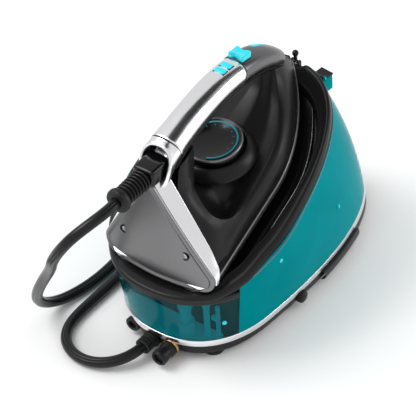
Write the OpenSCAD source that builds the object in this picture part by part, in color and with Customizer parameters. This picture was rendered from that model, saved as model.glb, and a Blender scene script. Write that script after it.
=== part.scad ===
// Steam-generator clothes iron docked on its station, with the steam hose between them.
// Frame: +X right, +Y towards the nose, +Z up, floor at z = 0. Millimetres.

/* [Station] */
// Half width of the chrome band at its widest place
band_half_w = 74.5; // [72:0.5:77]
// How far the band reaches behind the origin
band_rear = 141; // [138:1:144]
// How far the band reaches in front of the origin
band_front = 159; // [156:1:162]
// How far behind the origin the band is widest
widest_back = 59; // [55:1:63]
// Height of the chrome band's middle
band_z = 23.5; // [22:0.5:25]
// Height of the tank wall at the rear lip
lip_z = 87.5; // [86:0.5:89]
// Outward flare of the tank wall per millimetre of height
flare = 0.15; // [0.13:0.01:0.17]
// How much the front wall leans back per millimetre of height
lean_back = 0.5; // [0.48:0.01:0.53]
// Wall thickness of the tank and the window
shell_t = 2.5; // [2:0.5:3]

/* [Iron] */
// Pitch of the docked iron, nose up
dock_pitch = 23.25; // [22.5:0.25:24]
// Half width of the iron's skirt
iron_half_w = 59; // [57:0.5:61]
// Length of the iron from heel origin to nose
iron_len = 237; // [232:1:240]
// Forward lean of the heel plate from the sole's normal
heel_lean = 22; // [20:0.5:24]
// Thickness of the soleplate
sole_t = 6; // [5:0.5:7]
// Half width of the handle where the hand holds it
grip_half_w = 15; // [14:0.5:17]
// Radius of the temperature dial
dial_r = 28; // [26:0.5:29]

/* [Motion] */
// Running clearance on the radius of a pin or shaft
run_gap = 0.06; // [0.03:0.01:0.09]
// Free gap between parts that move past each other
free_gap = 0.4; // [0.3:0.05:0.6]

/* [Hidden] */
heel_y = -129;
heel_z = 95;
front_exp = 2.25;
rear_exp = 2.4;
widen = 0.001;
slope = tan(dock_pitch);
lip_line = -128;
seam_a = 27;
front_bulge = 6;
tray_n = -9.4;
tray_t = 3;
band_top = 27;
ogive_u = 115;
body_n = 18;
dial_u = 116;
dial_n = 40;
dial_tilt = 14;
steps = 72;

// ---- shape functions -------------------------------------------------
function spow(v, e) = sign(v) * pow(abs(v), e);
function plan_exp(a) = sin(a) > 0 ? front_exp : rear_exp;
function plan_reach(a) = sin(a) > 0 ? band_front + widest_back : band_rear - widest_back;
function plan_y(a) = spow(sin(a), 2 / plan_exp(a)) * plan_reach(a) - widest_back;
function plan_x(a) = band_half_w * spow(cos(a), 2 / plan_exp(a)) * (1 + widen * (plan_y(a) + widest_back));
function outward(a) = let (v = [plan_x(a), plan_y(a) + widest_back]) v / norm(v);
function side_flare(a) = flare - 0.05 * max(outward(a)[1], 0);
function y_per_z(a) = side_flare(a) * outward(a)[1] - lean_back * max(outward(a)[1], 0);

// A point of the station's wall at plan angle a and height z, moved in by inset
function wall(a, z, inset = 0) = let (o = outward(a), k = z - band_z, b = bulge(a, z) - inset)
    [plan_x(a) + o[0] * (side_flare(a) * k + b), plan_y(a) + y_per_z(a) * k + o[1] * b, z];

// The front wall is fullest half way up
function bulge(a, z) = let (q = min(max((z - band_z) / (wall_top(a) - band_z), 0), 1))
    4 * front_bulge * q * (1 - q) * pow(max(outward(a)[1], 0), 0.7);

// Height at which the wall meets the sloping plane of the rim
function wall_top(a) = let (
        c = y_per_z(a),
        k = (lip_z - band_z + slope * (plan_y(a) - lip_line)) / (1 - slope * c))
    band_z + (plan_y(a) + c * k < lip_line ? lip_z - band_z : k);
function rim_z(y) = lip_z + slope * max(y - lip_line, 0);
function rim(a, inset, up) = let (p = wall(a, wall_top(a), inset)) [p[0], p[1], rim_z(p[1]) + up];
function tray_z(y) = heel_z + (y - heel_y) * slope + tray_n / cos(dock_pitch);
function rim_foot(a, inset) = let (p = wall(a, wall_top(a), inset)) [p[0], p[1], tray_z(p[1])];

function angles(a0, a1, n) = [for (i = [0:n]) a0 + (a1 - a0) * i / n];
function ring(n) = [for (i = [0:n - 1]) -90 + 360 * i / n];
function plan_outline(inset) = [for (a = ring(steps)) let (p = wall(a, band_z, inset)) [p[0], p[1]]];

// The iron's plan outline in its own frame, grown by g
function iron_w(u) = u < ogive_u ? iron_half_w
    : iron_half_w * pow(1 - pow((u - ogive_u) / (iron_len - ogive_u), 1.9), 0.95);
function iron_side(g, n) = [for (i = [0:n]) let (t = sin(90 * i / n), u = 30 + (iron_len - 30) * t)
    [iron_w(u) * (iron_half_w + g) / iron_half_w, 30 + (iron_len - 30 + g) * t]];
function heel_curve(g) = [for (b = [4:8:176])
    [(iron_half_w + g) * spow(cos(b), 2 / 4.4), 30 - (39 + g) * pow(sin(b), 2 / 4.4)]];
function iron_outline(g, n = 24) = let (side = iron_side(g, n)) concat(
    [for (i = [len(heel_curve(g)) - 1:-1:0]) heel_curve(g)[i]],
    [for (i = [0:n]) side[i]],
    [for (i = [n - 1:-1:0]) [-side[i][0], side[i][1]]]);

function arc(c, r, a0, a1, n = 10) = [for (a = angles(a0, a1, n)) c + r * [cos(a), sin(a)]];

// ---- building blocks -------------------------------------------------
// A curved sheet between an outer and an inner grid of points
module sheet(outer, inner, loop = false) {
    rows = len(outer);
    n = len(outer[0]);
    cols = loop ? n : n - 1;
    off = rows * n;
    skin = [for (r = [0:rows - 2], c = [0:cols - 1])
        let (a = r * n + c, b = r * n + (c + 1) % n, d = a + n, e = b + n)
        each [[a, d, e], [a, e, b], [a + off, e + off, d + off], [a + off, b + off, e + off]]];
    last = (rows - 1) * n;
    rims = [for (c = [0:cols - 1])
        let (a = c, b = (c + 1) % n, d = last + c, e = last + (c + 1) % n)
        each [[a, b, b + off], [a, b + off, a + off], [e, d, d + off], [e, d + off, e + off]]];
    ends = loop ? [] : [for (r = [0:rows - 2])
        let (a = r * n, d = a + n, b = a + n - 1, e = b + n)
        each [[d, a, a + off], [d, a + off, d + off], [b, e, e + off], [b, e + off, b + off]]];
    polyhedron(concat([for (row = outer) each row], [for (row = inner) each row]),
        concat(skin, rims, ends), convexity = 10);
}

// A solid skinned over closed rings, its ends closed by fans
module skinned(rings) {
    rows = len(rings);
    n = len(rings[0]);
    last = (rows - 1) * n;
    low = rows * n;
    centre = function (ring) [for (i = [0:2]) [for (p = ring) p[i]] * [for (p = ring) 1] / n];
    polyhedron(concat([for (row = rings) each row], [centre(rings[0]), centre(rings[rows - 1])]),
        concat([for (r = [0:rows - 2], c = [0:n - 1])
                let (a = r * n + c, b = r * n + (c + 1) % n, d = a + n, e = b + n)
                each [[a, d, e], [a, e, b]]],
            [for (c = [0:n - 1]) [c, (c + 1) % n, low]],
            [for (c = [0:n - 1]) [last + (c + 1) % n, last + c, low + 1]]), convexity = 6);
}

module on_iron() { translate([0, heel_y, heel_z]) rotate([dock_pitch, 0, 0]) children(); }
module on_heel_local() { translate([0, -6, 0]) rotate([-heel_lean, 0, 0]) children(); }
module on_heel() { on_iron() on_heel_local() children(); }
module behind_heel() { on_heel_local() translate([-80, -60, -60]) cube([160, 60, 200]); }
module on_dial_local() { translate([0, dial_u, dial_n]) rotate([-dial_tilt, 0, 0]) children(); }
module on_dial() { on_iron() on_dial_local() children(); }
module slab_at(z, h, g) { translate([0, 0, z]) linear_extrude(h) polygon(iron_outline(g)); }
module under_tray() {
    on_iron() translate([-150, -150, tray_n - tray_t - 300]) cube([300, 500, 300]);
}

// ---- station ---------------------------------------------------------
module base_tray() {
    color([0.05, 0.05, 0.06]) difference() {
        union() {
            translate([0, 0, 4]) linear_extrude(4) polygon(plan_outline(4));
            translate([0, 0, 8]) linear_extrude(12) polygon(plan_outline(1.5));
        }
        translate([0, 0, 7]) linear_extrude(20) polygon(plan_outline(6.5));
        for (p = base_screw_at) translate([p[0], p[1], 0]) cylinder(h = 20, r = 2.2, $fn = 32);
    }
}

base_screw_at = [[54, -84], [-54, -84], [58, 20], [-58, 20], [20, 124], [-20, 124]];

module base_screws() {
    color([0.6, 0.6, 0.62]) for (p = base_screw_at) translate([p[0], p[1], 0]) difference() {
        union() {
            translate([0, 0, 3]) cylinder(h = 1, r = 4, $fn = 32);
            translate([0, 0, 3.5]) cylinder(h = 12, r = 2.1, $fn = 32);
        }
        translate([-0.5, -3, 2.4]) cube([1, 6, 1]);
        translate([-3, -0.5, 2.4]) cube([6, 1, 1]);
    }
}

foot_at = [[40, -108], [-40, -108], [42, 96], [-42, 96]];

module rubber_feet() {
    color([0.08, 0.08, 0.08]) for (p = foot_at) translate([p[0], p[1], 0]) cylinder(h = 4, r = 10, $fn = 48);
}

module chrome_band() {
    color([0.8, 0.8, 0.82]) difference() {
        translate([0, 0, 20]) linear_extrude(band_top - 20) polygon(plan_outline(-0.8));
        translate([0, 0, 19]) linear_extrude(band_top - 18) polygon(plan_outline(3.5));
    }
}

function wall_row(angle_list, t, z_top, inset) = [for (a = angle_list)
    wall(a, band_top + t * (z_top(a) - band_top), inset)];

module wall_panel(angle_list, z_top, rows, outer_inset, thick) {
    levels = [for (i = [0:rows]) i / rows];
    sheet([for (t = levels) wall_row(angle_list, t, z_top, outer_inset)],
        [for (t = levels) wall_row(angle_list, t, z_top, outer_inset + thick)]);
}

module tank_shell() {
    color([0, 0.6, 0.66, 0.7])
        wall_panel(angles(-seam_a, 180 + seam_a, 48), function (a) wall_top(a), 4, 0, shell_t);
}

window_top = 80;
module rear_window() {
    color([0, 0.6, 0.66, 0.7]) wall_panel(angles(181 + seam_a, 359 - seam_a, 24),
        function (a) window_top, 3, 0, shell_t);
}

module rear_lip() {
    list = angles(181 + seam_a, 359 - seam_a, 24);
    color([0.05, 0.05, 0.05]) sheet(
        [for (s = [[window_top, -0.5], [window_top + 3, -0.7], [lip_z, 0]]) [for (a = list) wall(a, s[0], s[1])]],
        [for (s = [[window_top, 2.4], [window_top + 3, 2.4], [lip_z, 2.4]]) [for (a = list) wall(a, s[0], s[1])]]);
}

// The rim is flat behind the lip line and lower there, so that the heel clears it
function rear_share(a) = pow(max(-sin(a), 0), 2);
function blend(front, rear, a) = front + (rear - front) * rear_share(a);
module platform_rim() {
    list = ring(steps);
    top = [[0, 0, 0, 0], [0.4, 0.4, 4.5, 1], [3, 3, 7, 1.5], [11, 15, 6, 0.3], [13, 17, 4, -1]];
    low = [[2.5, 2.5, 0, 0], [2.7, 2.7, 2.5, 0.3], [4.5, 4.5, 4.6, -0.4], [10.2, 14.2, 3.6, -2], [11.4, 15.4, 2, -2.6]];
    row = function (s) [for (a = list) rim(a, blend(s[0], s[1], a), blend(s[2], s[3], a))];
    foot = function (front, rear) [for (a = list) rim_foot(a, blend(front, rear, a))];
    color([0.04, 0.04, 0.04]) sheet(concat([for (s = top) row(s)], [foot(14.2, 18.4)]),
        concat([for (s = low) row(s)], [foot(12.4, 16.6)]), loop = true);
}

function on_tray(a, inset) = let (p = wall(a, wall_top(a), inset))
    [p[0], (p[1] - heel_y + tray_n * sin(dock_pitch)) / cos(dock_pitch)];
module platform_tray() {
    color([0.02, 0.02, 0.02]) on_iron() translate([0, 0, tray_n - tray_t]) linear_extrude(tray_t)
        polygon([for (a = ring(steps)) on_tray(a, 9)]);
}

module tray_trim() {
    color([0.75, 0.75, 0.77]) on_iron() intersection() {
        difference() {
            slab_at(tray_n, 4.2, 11.4);
            slab_at(tray_n - 1, 7, 10.2);
        }
        translate([-100, 44, -20]) cube([200, 154, 40]);
    }
}

pad_at = [[34, 22], [-34, 22], [36, 120], [-36, 120], [0, 200]];
module rest_pads() {
    color([0.12, 0.12, 0.12]) on_iron() for (p = pad_at) translate([p[0], p[1], tray_n])
        cylinder(h = -tray_n - free_gap, r = 7, $fn = 40);
}

// ---- filler spout and its flap, on the wall's front ------------------
spout_a = 77;
spout_w = 14;
spout_out = 13;
hinge_x = 2.8;
hinge_z = 1.7;
hinge_r = 0.9;
barrel_half = 4.3;
module on_spout() {
    let (p = wall(spout_a, wall_top(spout_a)), o = outward(spout_a))
        translate(p) rotate([0, 0, atan2(o[1], o[0])]) children();
}
module spout_hinge(half, r) {
    on_spout() translate([hinge_x, half, hinge_z]) rotate([90, 0, 0]) cylinder(h = 2 * half, r = r, $fn = 40);
}

module filler_spout() {
    color([0, 0.65, 0.7]) difference() {
        on_spout() {
            translate([-1, -spout_w / 2, -15]) cube([spout_out, spout_w, 15]);
            for (y = [-spout_w / 2, barrel_half + free_gap]) translate([1.3, y, -0.1])
                cube([3, spout_w / 2 - barrel_half - free_gap, 3.2]);
        }
        on_spout() {
            translate([4.9, -5.2, -10]) cube([6, 10.4, 20]);
            translate([-8, -4, -10]) cube([14, 8, 5]);
        }
        spout_hinge(20, hinge_r);
    }
}

module filler_flap() {
    color([0.03, 0.03, 0.03]) difference() {
        union() {
            spout_hinge(barrel_half, 1.4);
            on_spout() {
                translate([hinge_x, -barrel_half, 0.5]) cube([10, 2 * barrel_half, 1.7]);
                translate([hinge_x + 2.2, -spout_w / 2, 0.5]) cube([8, spout_w, 1.7]);
            }
        }
        spout_hinge(20, hinge_r + run_gap);
    }
}

// ---- nose latch ------------------------------------------------------
latch_y = 91.5;
latch_z = 191.3;
latch_up = 9.5;
module latch_axle(half, r) {
    translate([-half, latch_y, latch_z]) rotate([0, 90, 0]) cylinder(h = 2 * half, r = r, $fn = 40);
}

module hinge_pins() {
    color([0.45, 0.45, 0.47]) {
        spout_hinge(spout_w / 2 - 0.2, hinge_r);
        latch_axle(4.8, hinge_r);
    }
}

module latch_bracket() {
    color([0.04, 0.04, 0.04]) difference() {
        for (x = [-5.2, 2.8]) translate([x, latch_y - 2, latch_z - 5]) cube([2.4, 4, 6.4]);
        latch_axle(6, hinge_r);
    }
}

module nose_latch() {
    color([0.03, 0.03, 0.03]) difference() {
        union() {
            latch_axle(2.4, 1.8);
            translate([-1.4, latch_y - 1.2, latch_z]) cube([2.8, 2.4, latch_up]);
            translate([0, latch_y, latch_z + latch_up]) sphere(r = 3.2, $fn = 40);
        }
        latch_axle(6, hinge_r + run_gap);
    }
}

// ---- inside the station ----------------------------------------------
house_rear = -112;
house_front = -22;
module house_block(inset, z0, y0, y1) {
    intersection() {
        translate([0, 0, z0]) linear_extrude(160) polygon(plan_outline(inset));
        translate([-120, y0, 0]) cube([240, y1 - y0, 200]);
        translate([0, 0, -0.4]) under_tray();
    }
}

module boiler_housing() {
    color([0.1, 0.11, 0.12]) difference() {
        house_block(4.5, band_top + 0.2, house_rear, house_front);
        translate([0, 0, -4]) house_block(6.5, band_top + 2.2, house_rear + 2, house_front - 2);
    }
}

module tank_floor() {
    color([0, 0.45, 0.5, 0.8]) difference() {
        translate([0, 0, band_top + 0.2]) linear_extrude(2.5) polygon(plan_outline(3));
        translate([-120, -200, 0]) cube([240, 200 + house_front + 0.2, 60]);
    }
}

module boiler() {
    color([0.7, 0.7, 0.72]) translate([0, -98, 61]) rotate([-90, 0, 0]) {
        cylinder(h = 62, r = 25, $fn = 64);
        translate([0, 0, 26]) cylinder(h = 10, r = 28, $fn = 64);
        for (z = [-2.5, 62]) translate([0, 0, z]) cylinder(h = 2.5, r = 19, $fn = 64);
    }
}

module boiler_element() {
    color([0.75, 0.5, 0.3]) for (x = [-9, 9]) translate([x, -33.4, 55]) rotate([-90, 0, 0])
        cylinder(h = 7, r = 3, $fn = 32);
}

module pump() {
    color([0.85, 0.85, 0.8]) {
        translate([40, -90, 42]) rotate([-90, 0, 0]) cylinder(h = 34, r = 11, $fn = 48);
        translate([40, -56, 42]) rotate([-90, 0, 0]) cylinder(h = 10, r = 5, $fn = 32);
    }
}

module inner_mounts() {
    color([0.15, 0.15, 0.15]) {
        for (x = [-18, 11]) difference() {
            translate([x, -80, band_top + 2.4]) cube([7, 18, 16]);
            translate([0, -98, 61]) rotate([-90, 0, 0]) cylinder(h = 62, r = 25, $fn = 64);
        }
        difference() {
            translate([33, -84, band_top + 2.4]) cube([14, 20, 9]);
            translate([40, -90, 42]) rotate([-90, 0, 0]) cylinder(h = 34, r = 11, $fn = 48);
        }
        for (y = [-68, -36]) translate([-59, y, band_top + 2.4]) cube([4, 4, 5.6]);
    }
}

module steam_valve() {
    color([0.75, 0.65, 0.35]) {
        translate([-42, -96, band_top + 2.4]) cube([16, 18, 12]);
        translate([-34, -87, band_top + 14.4]) cylinder(h = 18, r = 7.5, $fn = 40);
    }
}

module control_board() {
    color([0.1, 0.4, 0.2]) {
        translate([-58, -70, band_top + 8]) cube([1.6, 40, 34]);
        for (y = [-64, -50, -38]) translate([-56.4, y, band_top + 14]) cube([6, 8, 10]);
    }
}

module valve_column() {
    color([0, 0.55, 0.6]) translate([24, -127, 0]) {
        translate([0, 0, band_top + 0.2]) cylinder(h = 16.8, r = 8, $fn = 48);
        translate([0, 0, 44]) cylinder(h = 16, r = 5.5, $fn = 48);
        translate([0, 0, 60]) cylinder(h = 8, r = 7, $fn = 48);
    }
}

module level_tube() {
    color([0, 0.6, 0.65]) translate([43, -120, 0]) {
        translate([0, 0, band_top + 0.2]) cylinder(h = 38.8, r = 3, $fn = 32);
        translate([0, 0, 66]) cylinder(h = 4, r = 4.2, $fn = 32);
    }
}

module rear_ledge() {
    color([0, 0.6, 0.65]) difference() {
        translate([0, 0, band_top + 0.2]) linear_extrude(3) polygon(plan_outline(3));
        translate([-120, house_rear - 0.4, 0]) cube([240, 400, 60]);
        translate([24, -127, 0]) cylinder(h = 60, r = 8.2, $fn = 48);
        translate([43, -120, 0]) cylinder(h = 60, r = 3.2, $fn = 32);
    }
}

module window_bracket() {
    color([0.05, 0.4, 0.42]) {
        translate([51, -117, band_top + 3.4]) cube([3, 3, 36]);
        translate([46, -117, band_top + 20]) cube([5, 3, 5]);
    }
}

module level_marks() {
    color([0.95, 0.95, 0.95]) for (i = [0:4])
        wall_panel_strip(58, 62, band_top + 14 + 12 * i, 1.2);
}

// A thin raised strip on the tank wall
module wall_panel_strip(a0, a1, z, h) {
    list = angles(a0, a1, 4);
    sheet([for (s = [z, z + h]) [for (a = list) wall(a, s, -0.3)]],
        [for (s = [z, z + h]) [for (a = list) wall(a, s, -0.02)]]);
}

// ---- fittings on the base --------------------------------------------
gland_x = -8;
cap_x = 14;
gland_z = 13;
module hose_gland() {
    color([0.05, 0.05, 0.05]) translate([gland_x, -139, gland_z]) rotate([90, 0, 0]) difference() {
        union() {
            translate([0, 0, -3]) cylinder(h = 5, r = 9, $fn = 48);
            cylinder(h = 16, r = 6.6, $fn = 48);
            for (z = [4:4:16]) translate([0, 0, z - 1]) cylinder(h = 2, r = 8, $fn = 48);
        }
        translate([0, 0, 9]) cylinder(h = 20, r = hose_r + 0.1, $fn = 48);
    }
}

module cap_socket() {
    color([0.3, 0.3, 0.32]) translate([cap_x, -138.2, gland_z]) rotate([90, 0, 0]) {
        cylinder(h = 3, r = 8.4, $fn = 48);
        cylinder(h = 12, r = 4, $fn = 48);
    }
}

module drain_cap() {
    color([0.04, 0.04, 0.04]) translate([cap_x, -141.6, gland_z]) rotate([90, 0, 0]) difference() {
        cylinder(h = 18.2, r = 8, $fn = 64);
        translate([0, 0, -1]) cylinder(h = 11, r = 4 + run_gap, $fn = 48);
        difference() {
            translate([0, 0, 15]) cylinder(h = 8, r = 5, $fn = 48);
            translate([-6, -1, 14]) cube([12, 2, 3.4]);
        }
        for (t = [0:30:330]) rotate([0, 0, t]) translate([8.4, 0, -1]) cylinder(h = 20, r = 1, $fn = 16);
    }
}

module mains_inlet() {
    color([0.05, 0.05, 0.05]) translate([-34, -133, gland_z]) rotate([90, 0, 0]) difference() {
        cylinder(h = 6, r = 7.5, $fn = 48);
        translate([0, 0, 3]) cylinder(h = 6, r = 4, $fn = 48);
    }
}

module side_fittings() {
    color([0.04, 0.04, 0.04]) {
        let (p = wall(29, band_z, 0)) translate([p[0], p[1], 0]) rotate([0, 0, 14]) {
            translate([-2, -16, 8]) cube([3, 32, 11]);
            translate([1, -16, 8]) cube([11, 3, 11]);
            translate([1, 13, 8]) cube([11, 3, 11]);
            translate([9, -13, 8]) cube([3, 16, 11]);
        }
        let (p = wall(9, band_z, 0)) translate([p[0], p[1], 12]) rotate([0, 90, 0])
            translate([0, 0, -1]) cylinder(h = 7, r = 6, $fn = 48);
    }
}

// ---- iron: base ------------------------------------------------------
steam_rows = [[14, 40], [28, 60], [40, 90], [24, 120], [12, 150]];
module soleplate() {
    color([0.55, 0.56, 0.58]) on_iron() difference() {
        slab_at(0, sole_t, -1);
        behind_heel();
        for (s = steam_rows, side = [-1, 1]) translate([side * s[0], s[1] + 40, -1])
            cylinder(h = 3.5, r = 2, $fn = 24);
    }
}

module heating_block() {
    color([0.72, 0.72, 0.74]) on_iron() difference() {
        slab_at(sole_t, 14, -13);
        slab_at(sole_t + 10, 14, -19);
    }
}

module heating_element() {
    color([0.75, 0.5, 0.3]) on_iron() for (x = [-24, 24]) translate([x, 20, sole_t + 13.4])
        rotate([-90, 0, 0]) cylinder(h = 120, r = 3.2, $fn = 32);
}

module sole_skirt() {
    color([0.08, 0.08, 0.085]) on_iron() difference() {
        slab_at(sole_t, body_n - sole_t, 0);
        behind_heel();
        slab_at(sole_t - 1, body_n - sole_t + 2, -3.5);
    }
}

// ---- iron: body and handle -------------------------------------------
function lift(ring2, n) = [for (p = ring2) [p[0], p[1], n]];
function deck(rows, d) = [for (s = rows) lift(iron_outline(s[0] - d, 20), s[1] - (s[2] == 1 ? d : 0))];
deck_rows = [[0, 18, 0], [-1.5, 25, 0], [-5, 31, 0], [-12, 36.5, 0], [-20, 39, 1], [-32, 40, 1]];

function post_ring(s, d) = [for (b = [0:7.5:352.5]) [
    (s[3] - d) * spow(cos(b), 2 / 3),
    (s[1] + s[2]) / 2 + ((s[2] - s[1]) / 2 - d) * spow(sin(b), 2 / 3), s[0]]];
post_rows = [[20, 9, 76, 56], [34, 14.5, 66, 50], [50, 21, 59, 41.5], [66, 28, 60, 32], [82, 34.5, 66, 23],
    [96, 40, 76, 18], [102, 43, 84, 16]];

module body_shell() {
    color([0.05, 0.05, 0.055]) on_iron() difference() {
        union() {
            skinned(deck(deck_rows, 0));
            skinned([for (s = post_rows) post_ring(s, 0)]);
        }
        translate([0, 0, -0.01]) skinned(deck(deck_rows, 2.5));
        translate([0, 0, -1]) skinned([for (s = post_rows) post_ring(s, 2.5)]);
        on_dial_local() {
            translate([0, 0, -20]) cylinder(h = 30, r = 6, $fn = 40);
            cylinder(h = 40, r = dial_r + 5, $fn = 96);
        }
        on_heel_local() translate([-80, -60, -60]) cube([160, 72.2, 200]);
        translate([0, 20, 114.5]) rotate([-90, 0, 0]) linear_extrude(60) polygon(collar_outline(-0.1));
    }
}

module nose_post() {
    rows = [[33, 176, 222, 20], [40, 184, 219, 17], [46, 191, 216, 14.5]];
    color([0.05, 0.05, 0.055]) on_iron() difference() {
        skinned([for (s = rows) post_ring(s, 0)]);
        translate([0, 0, -0.1]) skinned(concat([for (s = rows) post_ring(s, 2.5)]));
        skinned(deck(deck_rows, -0.05));
    }
}

// Centre line of the handle as rows of u, n, half width and half height
handle_line = [[60, 115, 17.5, 14.5], [72, 114.5, 16.5, 14.5], [86, 113, 15.5, 14], [106, 110, 15, 14],
    [128, 105.5, 15, 13.5], [150, 98.5, 15, 13.5], [172, 88.5, 15, 13], [190, 77, 15, 12.5], [203, 65, 14.5, 12],
    [213, 52, 13.5, 11], [221, 39, 11.5, 9]];
function line_dir(i) = let (
        a = handle_line[max(i - 1, 0)],
        b = handle_line[min(i + 1, len(handle_line) - 1)],
        d = [b[0] - a[0], b[1] - a[1]]) d / norm(d);
function handle_row(i, a0, a1, d, n = 14) = let (s = handle_line[i], f = line_dir(i))
    [for (a = angles(a0, a1, n)) [
        (s[2] - d) * cos(a),
        s[0] - f[1] * (s[3] - d) * sin(a),
        s[1] + f[0] * (s[3] - d) * sin(a)]];
module handle_part(first, last, a0, a1, d0, d1) {
    on_iron() sheet([for (i = [last:-1:first]) handle_row(i, a0, a1, d0)],
        [for (i = [last:-1:first]) handle_row(i, a0, a1, d1)]);
}

module handle_shell() {
    color([0.8, 0.8, 0.82]) difference() {
        handle_part(1, 7, -20, 200, 0, 2.2);
        for (b = key_at) on_key(b) translate([-b[2] / 2 - 0.4, -b[3] / 2 - 0.4, -8])
            cube([b[2] + 0.8, b[3] + 0.8, 20]);
        rocker_slot();
    }
}
module rocker_slot() { on_rocker() translate([-13.2, -11, -8]) cube([26.4, 21, 30]); }

module handle_grip() {
    color([0.04, 0.04, 0.04]) handle_part(1, 10, 200, 340, 0, 2.2);
}

module nose_cap() {
    color([0.2, 0.2, 0.21]) difference() {
        handle_part(7, 10, -20, 200, 0, 2.2);
        rocker_slot();
    }
}

// Chrome frame round the heel: a rounded triangle behind the heel plate
heel_low = 17;
heel_top = 106;
heel_corner = 46;
function heel_outline(g) = concat(
    arc([heel_corner, heel_low], 15 + g, -84, 36, 12),
    arc([0, heel_top], 9 + g, 36, 144, 10),
    arc([-heel_corner, heel_low], 15 + g, 144, 264, 12));
module heel_slab(from, depth, g) {
    on_heel() translate([0, from + depth, 0]) rotate([90, 0, 0]) linear_extrude(depth) polygon(heel_outline(g));
}

module heel_plate() {
    color([0.6, 0.61, 0.62]) difference() {
        heel_slab(-3, 3, 0);
        for (x = [-34, 34]) on_heel() translate([x, 1, 41]) rotate([90, 0, 0]) cylinder(h = 6, r = 2, $fn = 32);
        for (x = [-34, 34]) on_heel() translate([x, -1.4, 41]) rotate([90, 0, 0]) cylinder(h = 6, r = 3.6, $fn = 32);
    }
}

module heel_screws() {
    color([0.65, 0.65, 0.67]) for (x = [-34, 34]) on_heel() translate([x, 0, 41]) rotate([90, 0, 0]) difference() {
        union() {
            translate([0, 0, -8]) cylinder(h = 10, r = 1.9, $fn = 32);
            translate([0, 0, 1.4]) cylinder(h = 1.3, r = 3.4, $fn = 32);
        }
        translate([-0.4, -2.4, 2]) cube([0.8, 4.8, 2]);
        translate([-2.4, -0.4, 2]) cube([4.8, 0.8, 2]);
    }
}

function collar_outline(d) = [for (b = [0:7.5:352.5])
    [(17.5 - d) * spow(cos(b), 2 / 3), (14.5 - d) * spow(sin(b), 2 / 3)]];
module collar_tube(u, length, d) {
    on_iron() translate([0, u, 114.5]) rotate([-90, 0, 0]) linear_extrude(length) polygon(collar_outline(d));
}
module heel_frame() {
    color([0.82, 0.82, 0.84]) {
        difference() {
            heel_slab(0, 12, 0);
            heel_slab(-1, 14, -3);
            on_iron() translate([-80, -60, -20]) cube([160, 160, body_n + 20.2]);
            collar_tube(20, 60, 0);
        }
        difference() {
            collar_tube(36, 35.6, 0);
            collar_tube(34, 40, 2.7);
            on_iron() translate([-40, 0, 0]) rotate([90, 0, 90]) linear_extrude(80)
                polygon([[0, 80], [18.3, 80], [36, 99], [66, 131.3], [66, 160], [0, 160]]);
        }
    }
}

// ---- iron: controls --------------------------------------------------
// Keys on the handle's crown: u, n of the crown, width, length, tilt
key_at = [[160, 107.4, 11, 6.5, -25], [168.5, 103.6, 11, 6.5, -26]];
module on_key(b) { on_iron() translate([0, b[0], b[1]]) rotate([b[4], 0, 0]) children(); }
module key(b) {
    on_key(b) translate([-b[2] / 2, -b[3] / 2, -5]) cube([b[2], b[3], 6.2]);
}
module temperature_down_key() { color([0, 0.9, 0.95]) key(key_at[0]); }
module temperature_up_key() { color([0, 0.9, 0.95]) key(key_at[1]); }

rocker_u = 186;
rocker_n = 93.6;
rocker_tilt = -32;
module on_rocker_local() { translate([0, rocker_u, rocker_n]) rotate([rocker_tilt, 0, 0]) children(); }
module on_rocker() { on_iron() on_rocker_local() children(); }
module steam_rocker() {
    color([0, 0.88, 0.93]) on_rocker() difference() {
        union() {
            translate([-11, 0, 0]) rotate([0, 90, 0]) cylinder(h = 22, r = 4, $fn = 40);
            translate([-10, -9, 1]) cube([20, 18, 5]);
        }
        translate([-12, 0, 0]) rotate([0, 90, 0]) cylinder(h = 24, r = 1.2 + run_gap, $fn = 32);
        translate([-11, 0, 14.5]) rotate([0, 90, 0]) cylinder(h = 22, r = 10, $fn = 64);
    }
}
module rocker_pin() {
    color([0.5, 0.5, 0.52]) on_rocker() translate([-13, 0, 0]) rotate([0, 90, 0]) cylinder(h = 26, r = 1.2, $fn = 32);
}
module rocker_bracket() {
    color([0.05, 0.05, 0.05]) on_rocker() difference() {
        for (x = [-13, 11.4]) translate([x, -3, -7]) cube([1.6, 6, 9.5]);
        translate([-14, 0, 0]) rotate([0, 90, 0]) cylinder(h = 28, r = 1.2, $fn = 32);
    }
}

module light_strip() {
    color([0, 0.8, 0.85]) on_iron() difference() {
        sheet([for (i = [9, 8, 7]) handle_row(i, 70, 110, -0.7, 6)],
            [for (i = [9, 8, 7]) handle_row(i, 70, 110, -0.02, 6)]);
        on_rocker_local() translate([-20, -11, -12]) cube([40, 21, 30]);
    }
}

module dial_bezel() {
    color([0.06, 0.06, 0.065]) on_dial() difference() {
        translate([0, 0, 0]) cylinder(h = 5, r = dial_r + 5, $fn = 96);
        translate([0, 0, 2]) cylinder(h = 5, r = dial_r + free_gap, $fn = 96);
        translate([0, 0, -1]) cylinder(h = 8, r = 3.4, $fn = 40);
    }
}
module thermostat() {
    color([0.7, 0.6, 0.4]) {
        on_dial() translate([0, 0, -12]) cylinder(h = 5, r = 9, $fn = 48);
        on_dial() translate([0, 0, -12]) cylinder(h = 18, r = 3, $fn = 40);
    }
}

module dial_knob() {
    color([0.04, 0.04, 0.045]) on_dial() difference() {
        union() {
            translate([0, 0, 2 + free_gap]) cylinder(h = 7.6, r = dial_r, $fn = 96);
            translate([0, 0, 10]) cylinder(h = 1, r = dial_r - 1.2, $fn = 96);
        }
        translate([0, 0, -1]) cylinder(h = 7.2, r = 3 + run_gap, $fn = 40);
    }
}

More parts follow.
